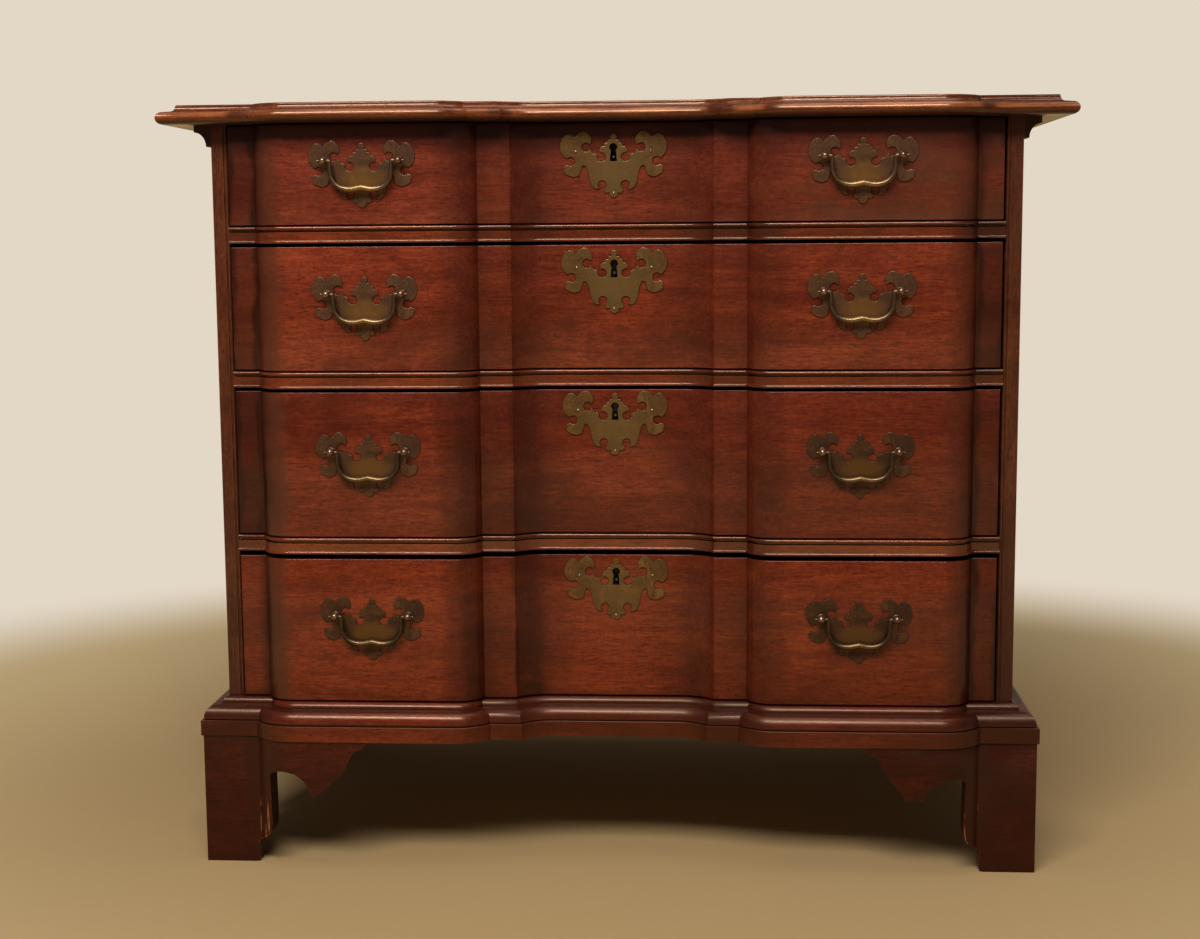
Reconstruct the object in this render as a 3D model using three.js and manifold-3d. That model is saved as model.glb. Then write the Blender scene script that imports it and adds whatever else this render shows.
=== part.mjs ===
// Block front chest of drawers: a moulded top, a case with three beaded divider rails, four
// graduated drawers with blocked fronts, a moulded base on bracket feet, and brass pulls.
// Millimetres, +Z up. The front faces -Y and the chest stands on Z = 0.
import * as THREE from 'three';
import { mergeVertices } from 'three/addons/utils/BufferGeometryUtils.js';
import Module from 'manifold-3d';

const wasm = await Module();
wasm.setup();

// Case
const caseWidth = 819;
const caseDepth = 466;
const sideBoard = 16.5;
const backBoard = 10;
const backRabbet = 8;
const bottomBoard = 15;
const dustBoard = 10;
const stileBead = 3.5;
const stileQuirk = 1.2;
const fit = 0.3;
const overrun = 6;

// Heights, from the floor up
const footHeight = 136;
const baseHeight = 37.2;
const railHeight = 17.3;
const topThickness = 20;
const openingHeights = [103, 130.4, 153.6, 155.4];

// Blocked plan of the drawer fronts and rails: breadth of the end flats, half breadths to the
// inner breaks, then the relief
const flatProud = 3;
const endFlat = 28;
const innerBreak = 136.2;
const stripBreak = 103;
const blockProud = 22;
const blockRadius = 30;
const stripProud = 3.5;
const hollowDepth = 12;
const hollowRadius = 45;

// Top board
const topSideOverhang = 49.7;
const topFrontOverhang = 23;
const topBackOverhang = 6;
const topBreakInset = 36;
const topInnerBreak = 140;
const topStripBreak = 110.5;
const topBlockRadius = 60;
const noseHeight = 12.6;
const noseLedge = 5.6;
const noseLedgeRise = 0.8;
const lipRun = 4.6;
const lipRound = 1.6;

// Cove under the top at each side
const coveProud = 17.4;
const coveFoot = 5.2;
const coveHeight = 21.5;
const coveFillet = 7;

// Divider rails
const railDepth = 73;
const railBead = 3.5;
const railCrest = 1.5;

// Base moulding, by its offsets from the case
const baseProud = 24.2;
const baseBack = 14;
const baseBreakInset = 35.5;
const baseInnerBreak = 127.5;
const baseStripBreak = 95.5;
const baseBlockRadius = 50;
const beadProud = 5.8;
const beadHeight = 6.6;
const ovoloStep = 12.4;
const ovoloProud = 21.6;
const ovoloHeight = 13;
const fasciaHeight = 16.4;
const fasciaFillet = 0.8;

// Bracket feet
const footSetBack = 2;
const footBoard = 20;
const footSpan = 179;
const glueBlock = 28;
const rearBoard = 18;
const rearReach = 130;
const rearHeel = 53;
const rearKnee = 80;
const rearKneeHeight = 60;

// Drawers
const drawerSideGap = 1.5;
const drawerFootGap = 1.2;
const drawerHeadGaps = [1.3, 3.2, 3.1, 4.6];
const runnerGap = 0.3;
const frontBack = 23;
const frontEdge = 1;
const boxBoard = 11;
const boxBottom = 8;
const boxBottomLift = 8;
const boxGroove = 5;
const boxSideGap = 1.1;
const boxHeadGap = 6;
const boxBackGap = 12;

// Brass: cut plate, posts and bail
const pullShift = 0.8;
const pullRises = [13.2, 15, 13.8, 15.8];
const plateReach = 54;
const plateThickness = 1.4;
const boltSpacing = 76.2;
const postStandoff = 7.4;
const postBall = 3.9;
const postNeck = 2.4;
const postCollar = 4.6;
const postCollarHeight = 1.4;
const postHole = 2;
const bailPin = 1.4;
const bailPinEnd = 44.5;
const bailArm = 31;
const bailDrop = 28.2;
const bailArmRadius = 2.1;
const bailGripRadius = 2.9;
const keyholeDrops = [24.6, 19.2, 17.6, 17.8];
const keyholeRise = 4;
const keyholeShift = 1.2;
const keyholeEye = 3.9;
const keyholeSlot = 2.5;
const keyholeFlare = 3.6;
const keyholeLength = 18;

// Segments on each round stretch
const planSteps = 4;
const noseSteps = 8;
const lipSteps = 2;
const coveSteps = 5;
const biteSteps = 4;
const knobSteps = 3;
const postSides = 10;
const bailSides = 8;

// Derived places. Y is measured from the front edges of the case sides, then centred at the end.
const caseHalf = caseWidth / 2;
const inside = caseHalf - sideBoard;
const outerBreak = inside - endFlat;
const topOuterBreak = caseHalf - topBreakInset;
const baseOuterBreak = caseHalf - baseBreakInset;
const pullCentre = (outerBreak + innerBreak) / 2 - pullShift;
const backFace = caseDepth - backBoard;
const baseTop = footHeight + baseHeight;
const caseTop = openingHeights.reduce((sum, height) => sum + height, baseTop)
  + railHeight * (openingHeights.length - 1);
const chestFront = -(flatProud + blockProud + Math.max(topFrontOverhang, baseProud));
const chestBack = caseDepth + topBackOverhang;
const middleY = (chestFront + chestBack) / 2;
const quarterTurn = Math.PI / 2;

// Finishes
const mahogany = { color: 0x5a1e12, roughness: 0.38, metalness: 0 };
const caseMahogany = { color: 0x4c1b11, roughness: 0.42, metalness: 0 };
const poplar = { color: 0xb99a6b, roughness: 0.8, metalness: 0 };
const brass = { color: 0x6d5426, roughness: 0.4, metalness: 0.9 };

const chest = new THREE.Group();
chest.position.y = -middleY;

function addPiece(name, geometry, finish) {
  geometry.computeVertexNormals();
  const mesh = new THREE.Mesh(geometry, new THREE.MeshStandardMaterial(finish));
  mesh.name = name;
  chest.add(mesh);
  return mesh;
}

// Solids for the cuts and joins
function toSolid(geometry) {
  const plain = geometry.clone();
  plain.deleteAttribute('normal');
  plain.deleteAttribute('uv');
  const merged = mergeVertices(plain);
  return new wasm.Manifold(new wasm.Mesh({
    numProp: 3,
    vertProperties: new Float32Array(merged.attributes.position.array),
    triVerts: new Uint32Array(merged.index.array),
  }));
}

function toGeometry(solid) {
  const mesh = solid.getMesh();
  const geometry = new THREE.BufferGeometry();
  geometry.setAttribute('position', new THREE.BufferAttribute(new Float32Array(mesh.vertProperties), 3));
  geometry.setIndex(new THREE.BufferAttribute(new Uint32Array(mesh.triVerts), 1));
  return geometry;
}

function slab(x0, x1, y0, y1, z0, z1) {
  const box = new THREE.BoxGeometry(x1 - x0, y1 - y0, z1 - z0);
  return box.translate((x0 + x1) / 2, (y0 + y1) / 2, (z0 + z1) / 2);
}

function extruded(points, length) {
  const shape = new THREE.Shape(points.map(([a, b]) => new THREE.Vector2(a, b)));
  return new THREE.ExtrudeGeometry(shape, { depth: length, bevelEnabled: false });
}

// Outline of x and z, drawn out along Y
function alongY(points, y0, y1) {
  return extruded(points, y1 - y0).rotateX(quarterTurn).translate(0, y1, 0);
}

// Outline of y and z, drawn out along X
function alongX(points, x0, x1) {
  const turn = new THREE.Matrix4().makeBasis(
    new THREE.Vector3(0, 1, 0),
    new THREE.Vector3(0, 0, 1),
    new THREE.Vector3(1, 0, 0),
  );
  return extruded(points, x1 - x0).applyMatrix4(turn).translate(x0, 0, 0);
}

// Outline of x and y, drawn out along Z
function alongZ(points, z0, z1) {
  return extruded(points, z1 - z0).translate(0, 0, z0);
}

function flatArea(ring) {
  return THREE.ShapeUtils.area(ring);
}

// Closed body through a row of rings with equal numbers of points, capped at both ends.
// The caps are triangulated in the two coordinates named by capAxes.
function lofted(rings, capAxes) {
  const count = rings[0].length;
  const vertices = rings.flat();
  const faces = [];
  for (let row = 0; row + 1 < rings.length; row += 1) {
    for (let side = 0; side < count; side += 1) {
      const here = row * count + side;
      const next = row * count + (side + 1) % count;
      faces.push([here, next, next + count], [here, next + count, here + count]);
    }
  }
  const ends = [0, rings.length - 1];
  ends.forEach((row) => {
    const flat = rings[row].map((point) => new THREE.Vector2(point[capAxes[0]], point[capAxes[1]]));
    const turn = Math.sign(flatArea(flat));
    THREE.ShapeUtils.triangulateShape(flat, []).forEach((corners) => {
      const sameTurn = Math.sign(flatArea(corners.map((corner) => flat[corner]))) === turn;
      const withRing = sameTurn ? corners : [...corners].reverse();
      const outward = row === 0 ? [...withRing].reverse() : withRing;
      faces.push(outward.map((corner) => corner + row * count));
    });
  });
  let volume = 0;
  faces.forEach(([a, b, c]) => {
    const [p, q, r] = [a, b, c].map((corner) => new THREE.Vector3(...vertices[corner]));
    volume += p.dot(q.cross(r));
  });
  const index = faces.flatMap((face) => (volume > 0 ? face : [...face].reverse()));
  const geometry = new THREE.BufferGeometry();
  geometry.setAttribute('position', new THREE.Float32BufferAttribute(vertices.flat(), 3));
  geometry.setIndex(index);
  return geometry;
}

// Points on an arc, from one angle to another, angles measured from straight out (front)
function arc(centreX, centreOut, radius, from, to, steps) {
  const points = [];
  for (let step = 0; step <= steps; step += 1) {
    const angle = from + (to - from) * step / steps;
    points.push([centreX + radius * Math.sin(angle), centreOut + radius * Math.cos(angle)]);
  }
  return points;
}

// Run of an arc that starts level and rises by the given amount
function arcRun(radius, rise) {
  return Math.sqrt(radius * radius - (radius - rise) ** 2);
}

// Blocked line: flat ends, a round-ended block each side, a flat strip, and a hollow centre.
// Its breaks are given where its face stands proud of the drawer flats by the line's own proud.
// A point is [x, out], with out measured forward from those flats. Any offset has as many points.
const drawerLine = {
  proud: 0,
  outer: outerBreak,
  inner: innerBreak,
  arris: stripBreak,
  radius: blockRadius,
};
const topLine = {
  proud: topFrontOverhang,
  outer: topOuterBreak,
  inner: topInnerBreak,
  arris: topStripBreak,
  radius: topBlockRadius,
};
const baseLine = {
  proud: baseProud,
  outer: baseOuterBreak,
  inner: baseInnerBreak,
  arris: baseStripBreak,
  radius: baseBlockRadius,
};

function rightHalf(line, offset, end) {
  const shift = offset - line.proud;
  const hollowX = line.arris - arcRun(hollowRadius, hollowDepth + stripProud);
  const hollowOut = hollowRadius - hollowDepth;
  const hollow = hollowRadius - shift;
  const hollowTurn = Math.acos((hollowOut - stripProud - shift) / hollow);
  const blockOut = blockProud - line.radius;
  const round = line.radius + shift;
  const innerX = line.inner + arcRun(line.radius, blockProud - stripProud);
  const outerX = line.outer - arcRun(line.radius, blockProud);
  const innerTurn = Math.acos((stripProud + shift - blockOut) / round);
  const outerTurn = Math.acos((shift - blockOut) / round);
  const points = [
    ...arc(hollowX, hollowOut, hollow, Math.PI, Math.PI - hollowTurn, planSteps),
    ...arc(innerX, blockOut, round, -innerTurn, 0, planSteps),
    ...arc(outerX, blockOut, round, 0, outerTurn, planSteps),
    [end, shift],
  ];
  return points.map(([x, out]) => [x, out + line.proud]);
}

function fullLine(line, offset, end) {
  const right = rightHalf(line, offset, end);
  const left = right.map(([x, out]) => [-x, out]).reverse();
  return [...left, ...right];
}

function frontY(out) {
  return -flatProud - out;
}

// Length of stock whose face follows a blocked line. The profile is a list of [offset, z],
// and its back is a plane at backY. Mitred ends run out with the offset.
function blockedStock(line, profile, backY, end, mitred) {
  const lines = profile.map(([offset]) => fullLine(line, offset, mitred ? end + offset : end));
  const backEnd = mitred ? end - backY - flatProud : end;
  const plain = fullLine(line, 0, backEnd);
  const lowest = profile[0][1];
  const highest = profile[profile.length - 1][1];
  const rings = plain.map(([backX], station) => [
    ...profile.map(([, z], level) => {
      const [x, out] = lines[level][station];
      return [x, frontY(out), z];
    }),
    [backX, backY, highest],
    [backX, backY, lowest],
  ]);
  return lofted(rings, [1, 2]);
}

function roundPoints(centre, height, radius, from, to, steps) {
  const points = [];
  for (let step = 0; step <= steps; step += 1) {
    const angle = from + (to - from) * step / steps;
    points.push([centre + radius * Math.cos(angle), height + radius * Math.sin(angle)]);
  }
  return points;
}

// Top board: bullnose, narrow ledge and small cove on the front and both ends
function makeTop() {
  const nose = noseHeight / 2;
  const profile = roundPoints(-nose, nose, nose, -quarterTurn, quarterTurn, noseSteps);
  const lipStart = -nose - noseLedge;
  const lipFoot = noseHeight + noseLedgeRise;
  const lipRise = topThickness - lipRound - lipFoot;
  for (let step = 0; step <= coveSteps; step += 1) {
    const angle = quarterTurn * step / coveSteps;
    profile.push([lipStart - lipRun * Math.sin(angle), lipFoot + lipRise * (1 - Math.cos(angle))]);
  }
  for (let step = 1; step <= lipSteps; step += 1) {
    const angle = quarterTurn * step / lipSteps;
    profile.push([
      lipStart - lipRun - lipRound * (1 - Math.cos(angle)),
      lipFoot + lipRise + lipRound * Math.sin(angle),
    ]);
  }
  const loops = profile.map(([offset, height]) => {
    const end = caseHalf + topSideOverhang + offset;
    const edge = fullLine(topLine, topFrontOverhang + offset, end);
    const front = edge.map(([x, out]) => [x, frontY(out), caseTop + height]);
    return [[-end, chestBack, caseTop + height], ...front, [end, chestBack, caseTop + height]];
  });
  addPiece('top', lofted(loops, [0, 1]), mahogany);
}

// Case sides, with a scratched bead on the inner front edge and a rabbet for the back
function makeSide(name, hand) {
  const bead = stileBead / 2;
  const quirk = inside + stileBead + stileQuirk;
  const points = [
    [quirk, bead],
    [quirk, 0],
    [caseHalf, 0],
    [caseHalf, caseDepth],
    [inside + backRabbet, caseDepth],
    [inside + backRabbet, backFace],
    [inside, backFace],
    ...roundPoints(inside + bead, bead, bead, Math.PI, Math.PI + 2 * quarterTurn, coveSteps),
  ];
  const outline = points.map(([x, y]) => [hand * x, y]);
  addPiece(name, alongZ(outline, footHeight, caseTop), caseMahogany);
}

function makeCase() {
  makeSide('side_left', -1);
  makeSide('side_right', 1);
  const backHalf = inside + backRabbet - fit;
  addPiece('back_panel', slab(-backHalf, backHalf, backFace, caseDepth, footHeight, caseTop), poplar);
  const boardFoot = baseTop - bottomBoard;
  addPiece('bottom_board', slab(-inside, inside, baseBack, backFace, boardFoot, baseTop), poplar);
}

// Coves under the overhang of the top, flush with the front edges of the sides
function makeCove(name, hand) {
  const run = coveProud - coveFoot;
  const rise = coveHeight - coveFillet;
  const points = [
    [caseHalf, caseTop],
    [caseHalf + coveProud, caseTop],
  ];
  for (let step = 0; step <= coveSteps; step += 1) {
    const angle = quarterTurn * step / coveSteps;
    points.push([
      caseHalf + coveProud - run * Math.sin(angle),
      caseTop - coveFillet - rise * (1 - Math.cos(angle)),
    ]);
  }
  points.push([caseHalf, caseTop - coveHeight]);
  const outline = points.map(([x, z]) => [hand * x, z]);
  addPiece(name, alongY(outline, 0, caseDepth), caseMahogany);
}

// Divider rail with a bead along its top and bottom, and the dust panel behind it
function makeRail(number, foot) {
  const bead = railBead / 2;
  const face = railCrest - bead;
  const profile = [
    ...roundPoints(face, foot + bead, bead, -quarterTurn, quarterTurn, coveSteps),
    ...roundPoints(face, foot + railHeight - bead, bead, -quarterTurn, quarterTurn, coveSteps),
  ];
  const rail = blockedStock(drawerLine, profile, railDepth, inside, false);
  addPiece(`divider_rail_${number}`, rail, mahogany);
  const head = foot + railHeight;
  const panel = slab(-inside, inside, railDepth, backFace, head - dustBoard, head);
  addPiece(`dust_panel_${number}`, panel, poplar);
}

// Keyhole outline: a round eye over a flared slot, centred on the eye
function keyholePoints(eye, slot, flare, length) {
  const start = Math.asin(slot / eye);
  const round = roundPoints(0, 0, eye, -quarterTurn + start, 3 * quarterTurn - start, postSides);
  return [...round, [-flare, eye - length], [flare, eye - length]];
}

function makeDrawer(number, openingFoot, openingHeight) {
  const order = number - 1;
  const foot = openingFoot + drawerFootGap;
  const head = openingFoot + openingHeight - drawerHeadGaps[order];
  const profile = [
    [-frontEdge, foot],
    [0, foot + frontEdge],
    [0, head - frontEdge],
    [-frontEdge, head],
  ];
  const front = blockedStock(drawerLine, profile, frontBack, inside - drawerSideGap, false);
  const keyholeZ = head - keyholeDrops[order];
  const keyway = alongY(
    keyholePoints(keyholeEye, keyholeSlot, keyholeFlare, keyholeLength),
    -overrun,
    frontBack + overrun,
  ).translate(keyholeShift, 0, keyholeZ);
  const cutFront = toSolid(front).subtract(toSolid(keyway));
  addPiece(`drawer_${number}_front`, toGeometry(cutFront), mahogany);

  const boxEnd = backFace - boxBackGap;
  const boxFoot = openingFoot + runnerGap;
  const boxHead = head - boxHeadGap;
  const outer = inside - boxSideGap;
  const inner = outer - boxBoard;
  const grooveFoot = boxFoot + boxBottomLift;
  const grooveHead = grooveFoot + boxBottom;
  const section = [
    [outer, boxFoot],
    [outer, boxHead],
    [inner, boxHead],
    [inner, grooveHead + fit],
    [inner + boxGroove, grooveHead + fit],
    [inner + boxGroove, grooveFoot],
    [inner, grooveFoot],
    [inner, boxFoot],
  ];
  const mirrored = section.map(([x, z]) => [-x, z]);
  addPiece(`drawer_${number}_side_left`, alongY(mirrored, frontBack, boxEnd), poplar);
  addPiece(`drawer_${number}_side_right`, alongY(section, frontBack, boxEnd), poplar);
  const bottomHalf = inner + boxGroove - fit;
  const bottom = slab(-bottomHalf, bottomHalf, frontBack, boxEnd, grooveFoot, grooveHead);
  addPiece(`drawer_${number}_bottom`, bottom, poplar);
  const back = slab(-inner, inner, boxEnd - boxBoard, boxEnd, grooveHead, boxHead);
  addPiece(`drawer_${number}_back`, back, poplar);
  return { foot, head, keyholeZ };
}

// Base moulding: a bead, an ovolo and a plain fascia, mitred at the front corners
function baseProfile() {
  const fasciaTop = footHeight + fasciaHeight;
  const ovoloFoot = fasciaTop + fasciaFillet;
  const profile = [
    [baseProud, footHeight],
    [baseProud, fasciaTop],
  ];
  for (let step = 0; step <= coveSteps; step += 1) {
    const angle = quarterTurn * step / coveSteps;
    profile.push([
      ovoloStep + (ovoloProud - ovoloStep) * Math.cos(angle),
      ovoloFoot + ovoloHeight * Math.sin(angle),
    ]);
  }
  const beadCentre = baseTop - beadHeight;
  for (let step = 0; step <= coveSteps; step += 1) {
    const angle = quarterTurn * step / coveSteps;
    profile.push([beadProud * Math.cos(angle), beadCentre + beadHeight * Math.sin(angle)]);
  }
  return profile;
}

function makeBase() {
  const profile = baseProfile();
  const stock = blockedStock(baseLine, profile, baseBack, caseHalf - fit, true);
  let front = toSolid(stock);
  [-1, 1].forEach((hand) => {
    const near = hand * (inside - fit);
    const far = hand * (caseHalf + baseProud);
    const housing = slab(
      Math.min(near, far),
      Math.max(near, far),
      -fit,
      baseBack + overrun,
      footHeight - overrun,
      baseTop + overrun,
    );
    front = front.subtract(toSolid(housing));
  });
  addPiece('base_moulding_front', toGeometry(front), mahogany);
  [['left', -1], ['right', 1]].forEach(([name, hand]) => {
    const section = [...profile, [0, footHeight]];
    const ringAt = (place) => section.map(([offset, z]) => [hand * (caseHalf + offset), place(offset), z]);
    const rings = [ringAt((offset) => frontY(offset)), ringAt(() => caseDepth)];
    addPiece(`base_moulding_${name}`, lofted(rings, [0, 2]), mahogany);
  });
}

// Scroll of a bracket foot: shares of the foot's height, run measured in from its outer face
const heelShares = [[0, 0], [0.39, 0], [0.415, 0.022], [0.415, 0.161]];
const kneeShares = [[0.467, 0.216], [0.529, 0.257], [0.572, 0.34], [0.59, 0.41], [0.584, 0.7]];
const archShares = [[0.605, 0.738], [0.665, 0.76], [0.73, 0.745], [0.8, 0.69], [0.84, 0.615]];
const dropShares = [[0.865, 0.578], [0.888, 0.571], [0.93, 0.595], [1.03, 0.69], [1.085, 0.73]];
const sweepShares = [[1.13, 0.79], [1.198, 0.92], [1.26, 0.944], [1.316, 1]];

function scrollPoints() {
  const shares = [...heelShares, ...kneeShares, ...archShares, ...dropShares, ...sweepShares];
  const points = shares.map(([run, rise]) => [run * footHeight, rise * footHeight]);
  return [...points, [0, footHeight]];
}

// Front foot: a bracket that follows the block, its side bracket, and the glue block inside
function frontFoot(hand) {
  const outerFace = caseHalf + baseProud - footSetBack;
  const outerOffset = baseProud - footSetBack;
  const innerOffset = outerOffset - footBoard;
  const face = (offset) => {
    const arcPoints = rightHalf(baseLine, offset, caseHalf + offset).slice(-planSteps - 2);
    const blockStart = [outerFace - footSpan, blockProud + offset];
    return [blockStart, ...arcPoints].map(([x, out]) => [hand * x, frontY(out)]);
  };
  const loop = [...face(outerOffset), ...face(innerOffset).reverse()];
  const blank = lofted([
    loop.map(([x, y]) => [x, y, 0]),
    loop.map(([x, y]) => [x, y, footHeight]),
  ], [0, 1]);
  const scroll = scrollPoints();
  const frontFace = frontY(baseProud - footSetBack);
  const frontScroll = alongY(
    scroll.map(([run, z]) => [hand * (outerFace - run), z]),
    frontFace - blockProud - overrun,
    frontFace + footBoard + overrun,
  );
  const sideScroll = alongX(
    scroll.map(([run, z]) => [frontFace + run, z]),
    Math.min(hand * outerFace, hand * (outerFace - footBoard)),
    Math.max(hand * outerFace, hand * (outerFace - footBoard)),
  );
  const blockOuter = outerFace - footBoard;
  const block = slab(
    Math.min(hand * blockOuter, hand * (blockOuter - glueBlock)),
    Math.max(hand * blockOuter, hand * (blockOuter - glueBlock)),
    frontFace + footBoard,
    frontFace + footBoard + glueBlock,
    0,
    footHeight,
  );
  return toSolid(blank).intersect(toSolid(frontScroll)).add(toSolid(sideScroll)).add(toSolid(block));
}

// Rear foot: a scrolled side bracket and a plain tapered board across the back
function rearFoot(hand) {
  const outerFace = caseHalf + baseProud - footSetBack;
  const sideScroll = alongX(
    scrollPoints().map(([run, z]) => [caseDepth - run, z]),
    Math.min(hand * outerFace, hand * (outerFace - footBoard)),
    Math.max(hand * outerFace, hand * (outerFace - footBoard)),
  );
  const rear = alongY(
    [
      [outerFace, 0],
      [outerFace - rearHeel, 0],
      [outerFace - rearKnee, rearKneeHeight],
      [outerFace - rearReach, footHeight],
      [outerFace, footHeight],
    ].map(([x, z]) => [hand * x, z]),
    caseDepth - rearBoard,
    caseDepth,
  );
  return toSolid(sideScroll).add(toSolid(rear));
}

// Cut brass plate: right half of its outline from the top down, in shares of its reach.
// A stretch is a run of points, or a round knob or bite by its centre, radius and two angles.
const plateShares = [
  { centre: [0, 0.272], radius: 0.057, angles: [90, -8], steps: knobSteps },
  { points: [[0.113, 0.192], [0.18, 0.1], [0.24, 0.01]] },
  { centre: [0.226, -0.104], radius: 0.085, angles: [70, 380], steps: biteSteps },
  { points: [[0.387, -0.042]] },
  { centre: [0.519, 0.077], radius: 0.085, angles: [205, 500], steps: biteSteps },
  { points: [[0.415, 0.225], [0.46, 0.33], [0.557, 0.372], [0.66, 0.335], [0.726, 0.255]] },
  { points: [[0.84, 0.326], [0.95, 0.25], [1, 0.134], [0.972, -0.036], [0.9, -0.12]] },
  { centre: [0.802, -0.185], radius: 0.085, angles: [45, 315], steps: biteSteps },
  { points: [[0.925, -0.27], [0.9, -0.415], [0.8, -0.465], [0.66, -0.445]] },
  { points: [[0.594, -0.287], [0.519, -0.281], [0.462, -0.453], [0.434, -0.568]] },
  { points: [[0.375, -0.68], [0.29, -0.7]] },
  { centre: [0.217, -0.623], radius: 0.085, angles: [-50, 230], steps: biteSteps },
  { points: [[0.142, -0.777]] },
  { centre: [0, -0.774], radius: 0.085, angles: [5, -90], steps: knobSteps },
];

function platePoints() {
  const right = plateShares.flatMap(({ points, centre, radius, angles, steps }) => {
    if (points) {
      return points;
    }
    const [from, to] = angles.map(THREE.MathUtils.degToRad);
    return roundPoints(centre[0], centre[1], radius, from, to, steps);
  });
  right[0][0] = 0;
  right[right.length - 1][0] = 0;
  const left = right.slice(1, -1).map(([x, z]) => [-x, z]).reverse();
  return [...right, ...left].map(([x, z]) => [x * plateReach, z * plateReach]);
}

function makePlate(faceY) {
  return alongY(platePoints(), faceY - plateThickness, faceY);
}

// Post on the plate: collar, neck and a drilled ball that takes the pin of the bail
function makePost() {
  const start = plateThickness / 2;
  const collarTop = plateThickness + postCollarHeight;
  const neckTurn = Math.asin(postNeck / postBall);
  const profile = [[0, start], [postCollar, start], [postCollar, collarTop], [postNeck, collarTop]];
  const ball = arc(0, 0, postBall, neckTurn, Math.PI, biteSteps);
  ball.forEach(([radius, height]) => profile.push([radius, postStandoff - height]));
  const points = profile.map(([radius, height]) => new THREE.Vector2(Math.abs(radius), height));
  points[points.length - 1].x = 0;
  const post = new THREE.LatheGeometry(points, postSides).rotateX(Math.PI);
  const hole = new THREE.CylinderGeometry(postHole, postHole, 2 * overrun, postSides);
  hole.rotateZ(quarterTurn).translate(0, -postStandoff, 0);
  return toSolid(post).subtract(toSolid(hole));
}

function makePull(name, x, z) {
  const faceY = frontY(blockProud);
  let pull = toSolid(makePlate(0));
  [-1, 1].forEach((hand) => {
    pull = pull.add(makePost().translate([hand * boltSpacing / 2, 0, 0]));
  });
  addPiece(`plate_${name}`, toGeometry(pull), brass).position.set(x, faceY, z);
  addPiece(`bail_${name}`, makeBail(), brass).position.set(x, faceY - postStandoff, z);
}

function makeEscutcheon(number, keyholeZ) {
  const hole = alongY(
    keyholePoints(keyholeEye, keyholeSlot, keyholeFlare, keyholeLength),
    -overrun,
    overrun,
  ).translate(0, 0, keyholeRise);
  const plate = toSolid(makePlate(0)).subtract(toSolid(hole));
  const mesh = addPiece(`escutcheon_${number}`, toGeometry(plate), brass);
  mesh.position.set(keyholeShift, frontY(-hollowDepth), keyholeZ - keyholeRise);
}

// Bail: right half of its line from the pin in to the middle of the grip, in shares of the
// arm's place and of the drop, with each point's share of the way from arm to grip thickness
const bailShares = [
  [1.08, 0, 0],
  [1.02, -0.02, 0],
  [1, -0.085, 0],
  [0.985, -0.48, 0.1],
  [0.89, -0.73, 0.35],
  [0.73, -0.91, 0.6],
  [0.5, -0.993, 0.85],
  [0.3, -1, 1],
  [0, -0.935, 0.9],
];

function makeBail() {
  const pinInner = (boltSpacing / 2 + bailArm) / 2;
  const right = [
    [bailPinEnd, 0, bailPin],
    [boltSpacing / 2, 0, bailPin],
    [pinInner, 0, bailPin],
    ...bailShares.map(([x, z, thick]) => [
      x * bailArm,
      z * bailDrop,
      bailArmRadius + (bailGripRadius - bailArmRadius) * thick,
    ]),
  ];
  const left = right.slice(0, -1).map(([x, z, radius]) => [-x, z, radius]);
  const line = [...left, ...right.reverse()];
  const rings = line.map(([x, z, radius], station) => {
    const before = line[Math.max(station - 1, 0)];
    const after = line[Math.min(station + 1, line.length - 1)];
    const along = new THREE.Vector2(after[0] - before[0], after[1] - before[1]).normalize();
    const ring = [];
    for (let side = 0; side < bailSides; side += 1) {
      const angle = 4 * quarterTurn * side / bailSides;
      const across = radius * Math.cos(angle);
      ring.push([x - across * along.y, radius * Math.sin(angle), z + across * along.x]);
    }
    return ring;
  });
  return lofted(rings, [1, 2]);
}

makeTop();
makeCase();
makeCove('cove_left', -1);
makeCove('cove_right', 1);
makeBase();
[['left', -1], ['right', 1]].forEach(([side, hand]) => {
  addPiece(`foot_front_${side}`, toGeometry(frontFoot(hand)), mahogany);
  addPiece(`foot_rear_${side}`, toGeometry(rearFoot(hand)), mahogany);
});

// Openings and rails from the top down
let openingHead = caseTop;
openingHeights.forEach((height, order) => {
  const number = order + 1;
  const openingFoot = openingHead - height;
  const { foot, head, keyholeZ } = makeDrawer(number, openingFoot, height);
  makeEscutcheon(number, keyholeZ);
  const pullZ = (foot + head) / 2 + pullRises[order];
  makePull(`${number}_left`, -pullCentre, pullZ);
  makePull(`${number}_right`, pullCentre, pullZ);
  openingHead = openingFoot - railHeight;
  if (number < openingHeights.length) {
    makeRail(number, openingHead);
  }
});

export default chest;
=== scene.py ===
import math

import bmesh
import bpy
from mathutils import Matrix, Vector


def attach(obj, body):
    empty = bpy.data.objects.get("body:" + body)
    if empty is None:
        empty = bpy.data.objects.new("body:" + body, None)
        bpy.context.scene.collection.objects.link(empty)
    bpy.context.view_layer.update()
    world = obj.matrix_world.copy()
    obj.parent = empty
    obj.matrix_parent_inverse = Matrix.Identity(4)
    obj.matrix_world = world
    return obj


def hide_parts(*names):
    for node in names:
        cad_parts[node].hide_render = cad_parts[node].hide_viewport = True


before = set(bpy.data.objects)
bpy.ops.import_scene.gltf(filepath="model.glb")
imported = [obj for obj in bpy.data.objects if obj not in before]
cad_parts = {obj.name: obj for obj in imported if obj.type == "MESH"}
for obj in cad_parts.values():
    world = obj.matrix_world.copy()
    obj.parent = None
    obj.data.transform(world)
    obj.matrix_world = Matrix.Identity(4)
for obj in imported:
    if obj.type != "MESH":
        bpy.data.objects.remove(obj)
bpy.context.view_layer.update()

MM = 0.001
WELD = 1e-7
MIDDLE_Y = 211.4

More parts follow.
